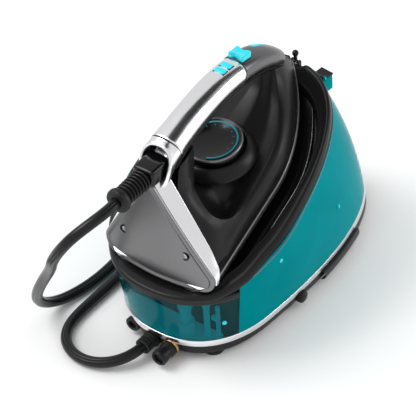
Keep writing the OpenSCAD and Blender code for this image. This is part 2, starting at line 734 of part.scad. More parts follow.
// ---- hose ------------------------------------------------------------
hose_r = 5.5;
module swivel_block() {
    color([0.03, 0.03, 0.03]) on_iron() translate([0, 44, 114]) rotate([swivel_pitch, 0, 0]) {
        translate([-9, -2, -8]) cube([18, 14, 16]);
        rotate([90, 0, 0]) cylinder(h = 12, r = 7.5, $fn = 48);
    }
}
swivel_pitch = -dock_pitch;
guard_len = 36;
module bend_guard() {
    color([0.03, 0.03, 0.03]) on_iron() translate([0, 44, 114]) rotate([swivel_pitch, 0, 0])
        rotate([90, 0, 0]) translate([0, 0, 12]) difference() {
            union() {
                cylinder(h = guard_len, r = 7, $fn = 48);
                for (i = [0:6]) translate([0, 0, 2 + 4.4 * i]) cylinder(h = 2.4, r = 9.6 - 0.15 * i, $fn = 48);
                translate([0, 0, guard_len - 4]) cylinder(h = 6, r = 12, $fn = 48);
            }
            translate([0, 0, guard_len - 8]) cylinder(h = 20, r = hose_r + 0.1, $fn = 48);
        }
}

function unit(v) = v / norm(v);
function tube_ring(path, i, r) = let (
        d = unit(path[min(i + 1, len(path) - 1)] - path[max(i - 1, 0)]),
        side = unit(cross(abs(d[2]) > 0.95 ? [0, -1, 0] : [0, 0, 1], d)),
        up = cross(d, side))
    [for (k = [0:11]) path[i] + r * (cos(30 * k) * side + sin(30 * k) * up)];
module tube(path, r) {
    skinned([for (i = [0:len(path) - 1]) tube_ring(path, i, r)]);
}

// Route from the bend guard down to the floor and forward to the coil
upper_route = [[0, -175, 217], [0, -198, 216], [-5, -215, 213], [-15, -230, 203], [-27, -236, 185],
    [-40, -231, 163], [-52, -219, 142], [-65, -209, 121], [-78, -202, 101], [-91, -195, 79],
    [-103, -187, 58], [-112, -178, 38], [-116, -164, 21], [-115, -145, 9.7], [-110, -124, 5.4],
    [-106, -101, 5.3], [-105, -76, 5.3], [-107, -50, 5.3], [-110, -25, 5.3], [-112, 0, 5.3],
    [-118, 25, 5.3], [-129, 50, 5.3], [-142, 73, 5.3], [-154.4, 94, 5.3]];
lead_in = [[-155, 95, 5.3], [-163, 112, 5.3], [-169, 132, 5.3]];
// Route from the coil back along the floor and round into the gland
lower_route = [[-63, 134, 5.3], [-70, 115, 5.3], [-78, 92, 5.3], [-84, 68, 5.3], [-88, 43, 5.3],
    [-91, 18, 5.3], [-92, -7, 5.3], [-92, -32, 5.3], [-91, -57, 5.3], [-90, -83, 5.3],
    [-90.5, -109, 5.3], [-90.5, -131, 5.3], [-90, -150, 5.3], [-86.5, -166, 5.3], [-78, -179.5, 5.3],
    [-65, -188.5, 5.4], [-49, -191.5, 6.2], [-33, -188.5, 7.8], [-20, -179.5, 10], [-11, -166, 12.2], [-8, -148.5, 13]];
coil_centre = [-116, 154];
coil_r = 57;

module steam_hose_upper() { color([0.03, 0.03, 0.03]) tube(upper_route, hose_r - 0.25); }
module steam_hose_lower() { color([0.03, 0.03, 0.03]) tube(lower_route, hose_r - 0.25); }
module steam_hose_coil() {
    color([0.03, 0.03, 0.03]) translate([coil_centre[0], coil_centre[1], 0])
        rotate_extrude($fn = 96) translate([coil_r - hose_r, 0]) square([2 * hose_r, 4 * hose_r - 1]);
    color([0.03, 0.03, 0.03]) tube(lead_in, hose_r - 0.25);
}

base_tray();
base_screws();
rubber_feet();
chrome_band();
tank_shell();
rear_window();
rear_lip();
platform_rim();
platform_tray();
tray_trim();
rest_pads();
filler_flap();
filler_spout();
hinge_pins();
latch_bracket();
nose_latch();
boiler_housing();
tank_floor();
boiler();
boiler_element();
pump();
inner_mounts();
steam_valve();
control_board();
valve_column();
level_tube();
rear_ledge();
window_bracket();
level_marks();
hose_gland();
cap_socket();
drain_cap();
mains_inlet();
side_fittings();
soleplate();
heating_block();
heating_element();
sole_skirt();
body_shell();
nose_post();
handle_shell();
handle_grip();
nose_cap();
heel_plate();
heel_screws();
heel_frame();
temperature_down_key();
temperature_up_key();
steam_rocker();
rocker_pin();
rocker_bracket();
light_strip();
dial_bezel();
thermostat();
dial_knob();
swivel_block();
bend_guard();
steam_hose_upper();
steam_hose_lower();
steam_hose_coil();
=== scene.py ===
"""Visual model of a steam-generator clothes iron docked on its water-tank station."""
import logging
import math
from dataclasses import dataclass
from enum import Enum
from typing import Callable, Optional, Sequence

import bmesh
import bpy
from mathutils import Matrix, Vector


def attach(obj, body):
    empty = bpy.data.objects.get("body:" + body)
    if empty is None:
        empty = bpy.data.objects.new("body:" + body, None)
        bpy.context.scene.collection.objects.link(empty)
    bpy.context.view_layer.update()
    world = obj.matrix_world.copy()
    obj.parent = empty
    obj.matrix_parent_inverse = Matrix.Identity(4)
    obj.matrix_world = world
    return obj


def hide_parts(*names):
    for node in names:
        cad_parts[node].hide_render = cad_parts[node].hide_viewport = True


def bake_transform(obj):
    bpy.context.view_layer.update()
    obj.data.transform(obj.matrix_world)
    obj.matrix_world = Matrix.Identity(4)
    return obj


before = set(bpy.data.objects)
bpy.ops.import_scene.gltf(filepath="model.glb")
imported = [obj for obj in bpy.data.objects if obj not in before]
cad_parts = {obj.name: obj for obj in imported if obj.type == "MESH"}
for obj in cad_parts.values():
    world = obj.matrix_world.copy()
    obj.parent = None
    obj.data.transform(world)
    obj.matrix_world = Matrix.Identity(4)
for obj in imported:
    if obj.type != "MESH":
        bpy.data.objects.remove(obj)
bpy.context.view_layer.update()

LOG = logging.getLogger("steam_iron")
MM = 0.001
# The docked sole rises forward by DOCK_PITCH from (HEEL_Y, HEEL_Z); the heel plate leans forward by HEEL_LEAN.
DOCK_PITCH = math.radians(23.25)
HEEL_LEAN = math.radians(22.0)
HEEL_Y = -129.0
HEEL_Z = 95.0
# Degrees over which an edge is shaded sharp, and how round the sections of handle and collar are.
CREASE = 38.0
HANDLE_POWER = 0.86
COLLAR_POWER = 0.70

Place = Callable[[float, float], Vector]
Pair = tuple[float, float]
Triple = tuple[float, float, float]


class Hand(Enum):
    """Right or left half of the product, with the sign of X there."""

    RIGHT = 1
    LEFT = -1

    @property
    def label(self) -> str:
        """Ending of the names of pieces on this side."""
        return self.name.lower()


# ---- small mathematics -------------------------------------------------
def spow(value: float, power: float) -> float:
    """Signed power, for rounded outlines.

    Args:
        value: Number to raise.
        power: Exponent used on its size.

    Returns:
        The power with the sign of value.
    """
    return math.copysign(abs(value) ** power, value)


def lerp(a: float, b: float, t: float) -> float:
    """Value part of the way from a to b."""
    return a + (b - a) * t


def smooth(t: float) -> float:
    """Ease from 0 to 1 with level ends."""
    t = min(max(t, 0.0), 1.0)
    return t * t * (3 - 2 * t)


def ridge(q: float) -> float:
    """Arch that is 0 at both ends of 0..1 and 1 in the middle."""
    return math.sin(math.pi * min(max(q, 0.0), 1.0))


def curve_at(rows: Sequence[Sequence[float]], t: float) -> list[float]:
    """Point on a smooth curve through rows.

    Args:
        rows: Points that the curve passes through.
        t: Place along the curve, 0 to 1.

    Returns:
        The interpolated row.
    """
    last = len(rows) - 1
    at = min(max(t, 0.0), 1.0) * last
    i = min(int(at), last - 1)
    f = at - i
    a, b = rows[max(i - 1, 0)], rows[i]
    c, d = rows[i + 1], rows[min(i + 2, last)]
    return [0.5 * (2 * q + (r - p) * f + (2 * p - 5 * q + 4 * r - s) * f * f
        + (3 * q - p - 3 * r + s) * f ** 3) for p, q, r, s in zip(a, b, c, d)]


def iron(x: float, u: float, n: float) -> Vector:
    """World place, in metres, of a point of the docked iron.

    Args:
        x: Across, millimetres.
        u: Forward along the sole.
        n: Up from the sole.

    Returns:
        The point in the shared frame.
    """
    c, s = math.cos(DOCK_PITCH), math.sin(DOCK_PITCH)
    return Vector((x, HEEL_Y + u * c - n * s, HEEL_Z + u * s + n * c)) * MM


def heel(x: float, y: float, z: float) -> Vector:
    """World place of a point given on the leaning heel plate.

    Args:
        x: Across, millimetres.
        y: Forward from the plate's plane.
        z: Up along the plate.

    Returns:
        The point in the shared frame.
    """
    c, s = math.cos(HEEL_LEAN), math.sin(HEEL_LEAN)
    return iron(x, -6 + y * c + z * s, z * c - y * s)


def seated(place: Vector, turn: Optional[Matrix] = None) -> Matrix:
    """Matrix that seats a piece made in millimetres.

    Args:
        place: World place of its origin, metres.
        turn: How it is turned; without it, the piece's Z axis points to the rear.

    Returns:
        The matrix, with the scale to metres in it.
    """
    turn = turn or Matrix.Rotation(math.pi / 2, 4, "X")
    return Matrix.Translation(place) @ turn @ Matrix.Scale(MM, 4)


def iron_turned(u: float, n: float, tilt: float) -> Matrix:
    """Matrix from a control's own axes, in millimetres, to the shared frame.

    Args:
        u: Place of the control forward along the sole.
        n: Its place up from the sole.
        tilt: Degrees it is turned about the X axis of the iron.

    Returns:
        The matrix, with the scale to metres in it.
    """
    return seated(iron(0, u, n), Matrix.Rotation(DOCK_PITCH + math.radians(tilt), 4, "X"))


# ---- mesh making ---------------------------------------------------------
def to_object(bm: bmesh.types.BMesh, name: str, thick: float = 0.0,
        crease: float = CREASE) -> bpy.types.Object:
    """Turn a bmesh into a finished object with its wall applied.

    Args:
        bm: The mesh, which is freed.
        name: Name of the piece.
        thick: Wall added on the inner side, millimetres.
        crease: Edges that turn more than this many degrees are shaded sharp.

    Returns:
        The linked object at the origin.
    """
    mesh = bpy.data.meshes.new(name)
    bm.to_mesh(mesh)
    bm.free()
    obj = bpy.data.objects.new(name, mesh)
    bpy.context.scene.collection.objects.link(obj)
    if thick:
        wall = obj.modifiers.new("Wall", "SOLIDIFY")
        wall.thickness, wall.offset = thick * MM, -1
        graph = bpy.context.evaluated_depsgraph_get()
        final = bpy.data.meshes.new_from_object(obj.evaluated_get(graph))
        obj.modifiers.clear()
        obj.data = final
        final.name = name
    shade(obj, crease)
    return obj


def shade(obj: bpy.types.Object, crease: float) -> None:
    """Shade an object smooth, with its corners sharp.

    Args:
        obj: Mesh object.
        crease: Angle in degrees over which an edge stays sharp.
    """
    bm = bmesh.new()
    bm.from_mesh(obj.data)
    limit = math.radians(crease)
    for face in bm.faces:
        face.smooth = True
    for edge in bm.edges:
        edge.smooth = edge.is_manifold and edge.calc_face_angle(0.0) < limit
    bm.to_mesh(obj.data)
    bm.free()


def orient(bm: bmesh.types.BMesh) -> None:
    """Make the faces of a mesh point outwards, away from the middle if it is open."""
    bmesh.ops.recalc_face_normals(bm, faces=bm.faces)
    if any(e.is_boundary for e in bm.edges):
        middle = sum((f.calc_center_median() * f.calc_area() for f in bm.faces), Vector()) / sum(
            f.calc_area() for f in bm.faces)
        if sum((f.calc_center_median() - middle).dot(f.normal) * f.calc_area() for f in bm.faces) < 0:
            bmesh.ops.reverse_faces(bm, faces=bm.faces)


def sheet(name: str, cols: int, rows: int, place: Place, thick: float = 0.0, cap: bool = False,
        **finish: float) -> bpy.types.Object:
    """A grid laid over a surface.

    Args:
        name: Name of the piece.
        cols: Faces along the first direction.
        rows: Faces along the second direction.
        place: World point of (s, t), both 0 to 1. Ends that meet are welded.
        thick: Wall thickness inwards, millimetres.
        cap: Whether open ends are filled.
        **finish: Passed on to to_object.

    Returns:
        The finished object.
    """
    bm = bmesh.new()
    bmesh.ops.create_grid(bm, x_segments=cols, y_segments=rows, size=0.5)
    for v in bm.verts:
        v.co = place(*(min(max(c + 0.5, 0.0), 1.0) for c in v.co.xy))
    bmesh.ops.remove_doubles(bm, verts=bm.verts, dist=2e-6)
    bmesh.ops.dissolve_degenerate(bm, edges=bm.edges, dist=1e-6)
    if cap:
        bmesh.ops.holes_fill(bm, edges=[e for e in bm.edges if e.is_boundary])
    orient(bm)
    return to_object(bm, name, thick=thick, **finish)


def lathe(name: str, profile: Sequence[Pair], frame_matrix: Matrix, steps: int = 96,
        **finish: float) -> bpy.types.Object:
    """A turned piece about its own Z axis.

    Args:
        name: Name of the piece.
        profile: Radius and height pairs, millimetres, from axis to axis.
        frame_matrix: From the piece's millimetres to the shared frame.
        steps: Facets of the turn.
        **finish: Passed on to to_object.

    Returns:
        The finished object.
    """
    bm = bmesh.new()
    line = [bm.verts.new((r, 0, z)) for r, z in profile]
    edges = [bm.edges.new(pair) for pair in zip(line, line[1:])]
    bmesh.ops.spin(bm, geom=line + edges, cent=(0, 0, 0), axis=(0, 0, 1), angle=2 * math.pi, steps=steps,
        use_merge=True)
    bmesh.ops.remove_doubles(bm, verts=bm.verts, dist=1e-4)
    bmesh.ops.dissolve_degenerate(bm, edges=bm.edges, dist=1e-5)
    bmesh.ops.transform(bm, matrix=frame_matrix, verts=bm.verts)
    bmesh.ops.recalc_face_normals(bm, faces=bm.faces)
    return to_object(bm, name, **finish)


def block(name: str, size: Triple, frame_matrix: Matrix, rounding: float = 1.0, cuts: int = 0,
        shape: Optional[Callable[[Vector], Vector]] = None, **finish: float) -> bpy.types.Object:
    """A rounded block, which may be reshaped.

    Args:
        name: Name of the piece.
        size: Its three sizes, millimetres.
        frame_matrix: From its own axes to the shared frame.
        rounding: Radius of its edges.
        cuts: Loop cuts before reshaping.
        shape: Moves each vertex, in millimetres.
        **finish: Passed on to to_object.

    Returns:
        The finished object.
    """
    bm = bmesh.new()
    bmesh.ops.create_cube(bm, size=1.0)
    bmesh.ops.scale(bm, vec=size, verts=bm.verts)
    bmesh.ops.bevel(bm, geom=bm.edges[:], offset=rounding, segments=4, profile=0.5, affect="EDGES",
        material=-1)
    if cuts:
        bmesh.ops.subdivide_edges(bm, edges=[e for e in bm.edges if e.calc_length() > 3 * rounding],
            cuts=cuts, use_grid_fill=True)
    if shape:
        for v in bm.verts:
            v.co = shape(v.co.copy())
    bmesh.ops.transform(bm, matrix=frame_matrix, verts=bm.verts)
    bmesh.ops.recalc_face_normals(bm, faces=bm.faces)
    return to_object(bm, name, **finish)


def bead(name: str, path: Callable[[float], Vector], count: int, radius: float) -> bpy.types.Object:
    """A thin round strip along a path.

    Args:
        name: Name of the piece.
        path: World point at 0 to 1.
        count: Steps along the path.
        radius: Half thickness, millimetres.

    Returns:
        The finished object.
    """
    def place(s: float, t: float) -> Vector:
        """Point at s round the strip and t along it."""
        step = 0.5 / count
        ahead = (path(min(t + step, 1)) - path(max(t - step, 0))).normalized()
        across = ahead.cross(Vector((0, 0, 1)))
        across = across.normalized() if across.length > 1e-6 else Vector((1, 0, 0))
        up = across.cross(ahead)
        turn = 2 * math.pi * s
        return path(t) + radius * MM * (math.cos(turn) * across + math.sin(turn) * up)
    return sheet(name, 12, count, place, cap=True)


# ---- finishes --------------------------------------------------------------
@dataclass(frozen=True)
class Finish:
    """How one material looks.

    Attributes:
        slot: Material slot of the record; not used.
        colour: Base colour, linear.
        second: Colour of the faint mottling.
        rough: Roughness at its two extremes.
        metal: 1 for metal.
        coat: Strength of a clear gloss.
        grain: Size of the fine texture, repeats per metre.
        relief: Depth of the texture, millimetres.
        clear: How much light passes through.
        glow: Painted glow, light that the surface gives off though it is no lamp.
        streak: Stretch of the texture across X, for ground metal.
        shine: Strength of the plain surface reflection.
        bend: Index of refraction.
    """

    slot: str
    colour: Triple
    second: Triple
    rough: Pair = (0.35, 0.45)
    metal: float = 0.0
    coat: float = 0.0
    grain: float = 900.0
    relief: float = 0.03
    clear: float = 0.0
    glow: float = 0.0
    streak: float = 1.0
    shine: float = 0.5
    bend: float = 1.5

    def build(self, name: str) -> bpy.types.Material:
        """Make the node material.

        Args:
            name: Name for the material.

        Returns:
            The material.
        """
        mat = bpy.data.materials.new(name)
        mat.use_nodes = True
        tree = mat.node_tree
        shader = tree.nodes["Principled BSDF"]
        for socket, value in (("Metallic", self.metal), ("Coat Weight", self.coat),
                ("Coat Roughness", 0.05), ("Specular IOR Level", self.shine), ("IOR", self.bend),
                ("Transmission Weight", self.clear)):
            shader.inputs[socket].default_value = value
        # Painted glow: emission on parts that are no lamps.
        if self.glow:
            shader.inputs["Emission Color"].default_value = (*self.colour, 1)
            shader.inputs["Emission Strength"].default_value = self.glow
        coords = tree.nodes.new("ShaderNodeTexCoord")
        stretch = tree.nodes.new("ShaderNodeMapping")
        stretch.inputs["Scale"].default_value = (self.streak, 1, 1)
        tree.links.new(coords.outputs["Object"], stretch.inputs["Vector"])
        fine = self.noise(tree, stretch, self.grain, 3)
        broad = self.noise(tree, stretch, 22.0, 2)
        tint = tree.nodes.new("ShaderNodeMix")
        tint.data_type = "RGBA"
        tint.inputs["A"].default_value = (*self.colour, 1)
        tint.inputs["B"].default_value = (*self.second, 1)
        tree.links.new(broad.outputs["Fac"], tint.inputs["Factor"])
        tree.links.new(tint.outputs["Result"], shader.inputs["Base Color"])
        spread = tree.nodes.new("ShaderNodeMapRange")
        spread.inputs["To Min"].default_value, spread.inputs["To Max"].default_value = self.rough
        tree.links.new(fine.outputs["Fac"], spread.inputs["Value"])
        tree.links.new(spread.outputs["Result"], shader.inputs["Roughness"])
        if self.relief:
            bump = tree.nodes.new("ShaderNodeBump")
            bump.inputs["Strength"].default_value = 0.5
            bump.inputs["Distance"].default_value = self.relief * MM
            tree.links.new(fine.outputs["Fac"], bump.inputs["Height"])
            tree.links.new(bump.outputs["Normal"], shader.inputs["Normal"])
        return mat

    @staticmethod
    def noise(tree: bpy.types.NodeTree, source: bpy.types.Node, scale: float,
            detail: float) -> bpy.types.Node:
        """Add a noise texture.

        Args:
            tree: Node tree.
            source: Node that gives the coordinates.
            scale: Repeats per metre.
            detail: Octaves.

        Returns:
            The noise node.
        """
        node = tree.nodes.new("ShaderNodeTexNoise")
        node.inputs["Scale"].default_value = scale
        node.inputs["Detail"].default_value = detail
        tree.links.new(source.outputs["Vector"], node.inputs["Vector"])
        return node


FINISHES = {
    "satin_black": Finish("black_plastic", (0.006, 0.006, 0.0065), (0.009, 0.009, 0.0095), (0.30, 0.38),
        relief=0.02, shine=0.24),
    "gloss_black": Finish("gloss_black", (0.003, 0.003, 0.0035), (0.004, 0.004, 0.005), (0.14, 0.18),
        relief=0.0, shine=0.3),
    "hose_rubber": Finish("rubber_black", (0.004, 0.004, 0.004), (0.007, 0.007, 0.007), (0.24, 0.34),
        relief=0.02, shine=0.3),
    "matte_rubber": Finish("rubber_black", (0.006, 0.006, 0.006), (0.010, 0.010, 0.010), (0.35, 0.5),
        relief=0.05, shine=0.3),
    "chrome": Finish("chrome_plate", (0.93, 0.93, 0.94), (0.88, 0.88, 0.90), (0.16, 0.20), metal=1.0,
        relief=0.0),
    "heel_metal": Finish("satin_metal", (0.23, 0.23, 0.235), (0.20, 0.20, 0.205), (0.27, 0.33), metal=1.0,
        grain=1600.0, relief=0.008),
    "sole_metal": Finish("sole_metal", (0.55, 0.56, 0.58), (0.50, 0.51, 0.53), (0.25, 0.35), metal=1.0,
        streak=0.1),
    "steel": Finish("steel", (0.62, 0.62, 0.63), (0.52, 0.52, 0.54), (0.25, 0.35), metal=1.0),
    "brass": Finish("copper_brass", (0.72, 0.50, 0.26), (0.62, 0.42, 0.20), (0.28, 0.38), metal=1.0),
    "teal_clear": Finish("teal_clear", (0.0, 0.42, 0.47), (0.0, 0.31, 0.35), (0.04, 0.07), clear=0.42,
        relief=0.0, shine=0.1, bend=1.05),
    "window": Finish("teal_clear", (0.06, 0.46, 0.50), (0.05, 0.42, 0.46), (0.02, 0.04), clear=0.96,
        relief=0.0, bend=1.14),
    # Painted glow: the teal parts inside the tank give off light though they are no lamps.
    "teal_solid": Finish("teal_clear", (0.0, 0.60, 0.66), (0.0, 0.46, 0.52), (0.12, 0.2), relief=0.0,
        glow=0.22, shine=0.3),
    # Painted glow on the keys, rocker, tank studs and light strip.
    "cyan": Finish("cyan_keys", (0.0, 0.62, 0.72), (0.0, 0.56, 0.66), (0.10, 0.16), coat=0.3, relief=0.0,
        glow=0.12),
    # Painted glow on the dial's printed marks.
    "dial_ink": Finish("cyan_keys", (0.0, 0.24, 0.30), (0.0, 0.20, 0.26), (0.3, 0.4), relief=0.0, glow=0.05),
    "grey_cap": Finish("dark_grey", (0.16, 0.16, 0.165), (0.13, 0.13, 0.135), (0.24, 0.30), metal=0.9,
        relief=0.01),
    # Grey edge lines; on the dial's rim this grey is a painted highlight.
    "edge_grey_and_painted_highlight": Finish("dark_grey", (0.22, 0.22, 0.225), (0.18, 0.18, 0.19), (0.25, 0.32), metal=0.7,
        relief=0.01),
    "housing": Finish("housing_dark", (0.010, 0.020, 0.022), (0.016, 0.028, 0.030), (0.4, 0.55), relief=0.05),
    "white_ink": Finish("white_ink", (0.80, 0.84, 0.84), (0.74, 0.80, 0.80), (0.4, 0.5), relief=0.0),
    "pump": Finish("pump_plastic", (0.60, 0.58, 0.50), (0.54, 0.52, 0.45), (0.4, 0.5)),
    "board": Finish("board_green", (0.02, 0.12, 0.05), (0.03, 0.16, 0.07), (0.35, 0.5))}


class Wardrobe:
    """Builds each finish once and dresses pieces and nodes with it."""

    def __init__(self) -> None:
        """Start with no material built."""
        self.made: dict[str, bpy.types.Material] = {}

    def material(self, name: str) -> bpy.types.Material:
        """Material of a finish, built on first use."""
        if name not in self.made:
            self.made[name] = FINISHES[name].build(name)
        return self.made[name]

    def dress(self, obj: bpy.types.Object, name: str, body: str, *replaced: str) -> bpy.types.Object:
        """Give a new piece its finish, body and the nodes that it stands for.

        Args:
            obj: The piece.
            name: Name of the finish.
            body: Body it rides on.
            *replaced: CAD nodes it replaces.

        Returns:
            The piece.
        """
        obj.data.materials.clear()
        obj.data.materials.append(self.material(name))
        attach(obj, body)
        if replaced:
            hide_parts(*replaced)
        LOG.info("%s: %s on %s", obj.name, name, body)
        return obj

    def dress_node(self, node: str, name: str) -> None:
        """Give a CAD node a finish.

        Args:
            node: Name of the node.
            name: Name of the finish.
        """
        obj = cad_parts[node]
        if not obj.material_slots:
            obj.data.materials.append(self.material(name))
        for slot in obj.material_slots:
            slot.material = self.material(name)


WARDROBE = Wardrobe()


# ---- camera, floor and light --------------------------------------------
@dataclass
class Studio:
    """Camera, pale floor and soft lamps.

    Attributes:
        lens: Focal length, millimetres on a 36 mm sensor.
        azimuth: Camera's bearing, degrees.
        elevation: Its height above the horizon, degrees.
        roll: Its turn about the line of sight, degrees.
        distance: Metres from its target.
        target: Point looked at.
    """

    lens: float = 258.04
    azimuth: float = 38.311
    elevation: float = 41.447
    roll: float = -3.405
    distance: float = 2.83906
    target: Triple = (-0.036608, -0.007621, 0.062857)

    def camera(self) -> None:
        """Place the camera."""
        a, e, r = (math.radians(v) for v in (self.azimuth, self.elevation, self.roll))
        back = Vector((math.sin(a) * math.cos(e), -math.cos(a) * math.cos(e), math.sin(e)))
        level = Vector((0, 0, 1)).cross(back).normalized()
        above = back.cross(level)
        right = math.cos(r) * level + math.sin(r) * above
        up = -math.sin(r) * level + math.cos(r) * above
        eye = Vector(self.target) + back * self.distance
        lens = bpy.data.cameras.new("camera")
        lens.lens, lens.sensor_width, lens.clip_end = self.lens, 36.0, 20.0
        cam = bpy.data.objects.new("camera", lens)
        cam.matrix_world = Matrix((
            (right.x, up.x, back.x, eye.x), (right.y, up.y, back.y, eye.y), (right.z, up.z, back.z, eye.z),
            (0, 0, 0, 1)))
        bpy.context.scene.collection.objects.link(cam)
        bpy.context.scene.camera = cam

    def floor(self) -> None:
        """Lay the pale floor and set the even sky."""
        bm = bmesh.new()
        bmesh.ops.create_grid(bm, x_segments=2, y_segments=2, size=6.0)
        self.paint(to_object(bm, "floor"), 0.93, 0.9)
        world = bpy.data.worlds.new("sky")
        bpy.context.scene.world = world
        world.use_nodes = True
        sky = world.node_tree.nodes["Background"]
        sky.inputs["Color"].default_value = (1, 1, 1, 1)
        sky.inputs["Strength"].default_value = 0.75
        bpy.context.scene.view_settings.view_transform = "Standard"

    def lamp(self, name: str, where: Triple, size: Pair, power: float) -> None:
        """Add one soft lamp that points at the iron.

        Args:
            name: Name of the lamp.
            where: Its place, metres.
            size: Its width and height.
            power: Watts.
        """
        data = bpy.data.lights.new(name, "AREA")
        data.shape, data.size, data.size_y, data.energy = "RECTANGLE", size[0], size[1], power
        obj = bpy.data.objects.new(name, data)
        obj.location = where
        obj.rotation_euler = (Vector((0, 0, 0.12)) - Vector(where)).to_track_quat("-Z", "Y").to_euler()
        bpy.context.scene.collection.objects.link(obj)

    def card(self, name: str, where: Triple, size: Pair) -> None:
        """Hang a dark card that shows only in reflections.

        Args:
            name: Name of the card.
            where: Its middle, metres.
            size: Its width and height.
        """
        aim = (Vector((0, 0, 0.15)) - Vector(where)).to_track_quat("Z", "Y").to_matrix().to_4x4()
        self.dark_card(name, Matrix.Translation(where) @ aim, size)

    def floor_card(self) -> None:
        """Lay a dark strip behind the heel that shows only in reflections, as a painted dark band in the heel
        plate's reflection.
        """
        turn = Matrix.Rotation(math.radians(-43), 4, "Z")
        self.dark_card("floor_card", Matrix.Translation((-0.135, -0.30, 0.002)) @ turn, (0.42, 0.06))

    def dark_card(self, name: str, matrix: Matrix, size: Pair) -> None:
        """Add a dark card that shows only in reflections.

        Args:
            name: Name of the card.
            matrix: Its place and turn.
            size: Its width and height, metres.
        """
        bm = bmesh.new()
        bmesh.ops.create_grid(bm, x_segments=1, y_segments=1, size=0.5)
        bmesh.ops.transform(bm, matrix=matrix @ Matrix.Diagonal((*size, 1, 1)), verts=bm.verts)
        obj = to_object(bm, name)
        obj.visible_camera = obj.visible_shadow = obj.visible_diffuse = obj.visible_transmission = False
        self.paint(obj, 0.01, 1.0)

    @staticmethod
    def paint(obj: bpy.types.Object, grey: float, rough: float) -> None:
        """Give an object of the stage a plain grey.

        Args:
            obj: The floor or a card.
            grey: Its brightness, linear.
            rough: Its roughness.
        """
        mat = bpy.data.materials.new(obj.name)
        mat.use_nodes = True
        shader = mat.node_tree.nodes["Principled BSDF"]
        shader.inputs["Base Color"].default_value = (grey, grey, grey, 1)
        shader.inputs["Roughness"].default_value = rough
        obj.data.materials.append(mat)

    def build(self) -> None:
        """Set up everything."""
        self.camera()
        self.floor()
        self.lamp("key", (-0.9, -0.7, 1.6), (1.1, 1.1), 20)
        self.lamp("rim", (1.3, 0.9, 0.9), (0.7, 1.2), 10)
        self.floor_card()
        self.card("card_above", (0.53, 0.58, 1.39), (1.1, 2.4))


# ---- steam hose ------------------------------------------------------------
@dataclass
class SteamHose:
    """The hose from the heel, round the floor and back into the station.

    Attributes:
        radius: Outer radius, millimetres.
        upper: Control points from the guard down to the coil.
        lower: Control points from the coil to the gland.
        coil: Centre of the coil.
        coil_r: Radius of its turns.
        rest: Height of the hose's middle where it lies on the floor.
    """

    radius: float = 5.25
    upper: tuple[Triple, ...] = (
        (0, -183.6, 217), (0, -191, 217), (-1, -200, 216), (-5, -215, 213), (-15, -230, 203), (-27, -236, 185),
        (-40, -231, 163), (-52, -219, 142), (-65, -209, 121), (-78, -202, 101), (-91, -195, 79),
        (-103, -187, 58), (-112, -178, 38), (-117, -164, 20), (-116, -145, 8), (-110.5, -124, 5.3),
        (-106, -101, 5.3), (-105, -76, 5.3), (-107, -50, 5.3), (-110, -25, 5.3), (-113, 0, 5.3),
        (-119, 25, 5.3), (-130, 50, 5.3), (-143, 73, 5.3), (-155, 95, 5.3), (-164, 115, 5.3))
    lower: tuple[Triple, ...] = ((-68, 117, 13), (-76, 94, 7.5), (-83, 68, 5.3), (-88, 43, 5.3),
        (-91, 18, 5.3), (-92, -7, 5.3), (-92, -32, 5.3), (-91, -57, 5.3), (-90, -83, 5.3),
        (-90.5, -109, 5.3), (-91, -131, 5.3), (-91, -151, 5.3), (-87.5, -168, 5.3), (-79, -181.5, 5.3),
        (-65, -190.5, 5.3), (-49, -193.5, 6), (-33, -190.5, 7.8), (-19, -181.5, 10), (-10.5, -168, 12.2),
        (-8, -156, 13), (-8, -148.5, 13))
    coil: Pair = (-116, 154)
    coil_r: float = 57.0
    rest: float = 5.3

    def controls(self) -> list[Vector]:
        """All control points, the coil's turns among them."""
        turns = []
        for step in range(30):
            turned = 20.0 * step
            a = math.radians(200 - turned)
            rise = 10.6 * smooth((turned - 300) / 60)
            turns.append((self.coil[0] + self.coil_r * math.cos(a), self.coil[1]
                + self.coil_r * math.sin(a), self.rest + rise))
        return [Vector(p) for p in (*self.upper, *turns, *self.lower)]

    def path(self) -> list[Vector]:
        """Points of the smooth centre line, metres."""
        pts = self.controls()
        pts = [2 * pts[0] - pts[1], *pts, 2 * pts[-1] - pts[-2]]
        line = []
        for i in range(len(pts) - 3):
            a, b, c, d = pts[i:i + 4]
            for k in range(4):
                f = k / 4
                line.append(((1 - f) ** 3 * a + (3 * f ** 3 - 6 * f * f + 4) * b
                    + (-3 * f ** 3 + 3 * f * f + 3 * f + 1) * c + f ** 3 * d) / 6 * MM)
        line.append((pts[-3] + 4 * pts[-2] + pts[-1]) / 6 * MM)
        return line

    def build(self) -> None:
        line = self.path()
        last = len(line) - 1
        ways = [(line[min(i + 1, last)] - line[max(i - 1, 0)]).normalized() for i in range(last + 1)]
        sides: list[Vector] = []
        across = Vector((1, 0, 0))
        for ahead in ways:
            across = (across - ahead * across.dot(ahead)).normalized()
            sides.append(across)

        def place(s: float, t: float) -> Vector:
            """Point of the grooved skin at s round the hose and t along it."""
            i = round(t * last)
            up = ways[i].cross(sides[i])
            turn = 2 * math.pi * s
            groove = sum(math.exp(-((((turn - c + math.pi) % (2 * math.pi)) - math.pi) / 0.16) ** 2)
                for c in (0.9, 0.9 + math.pi))
            r = self.radius * MM * (1 - 0.13 * groove)
            return line[i] + r * (math.cos(turn) * sides[i] + math.sin(turn) * up)
        hose = sheet("steam_hose", 40, last, place, cap=True)
        hose.data.materials.append(WARDROBE.material("hose_rubber"))
        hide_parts("steam_hose_upper", "steam_hose_lower", "steam_hose_coil")
        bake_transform(hose)


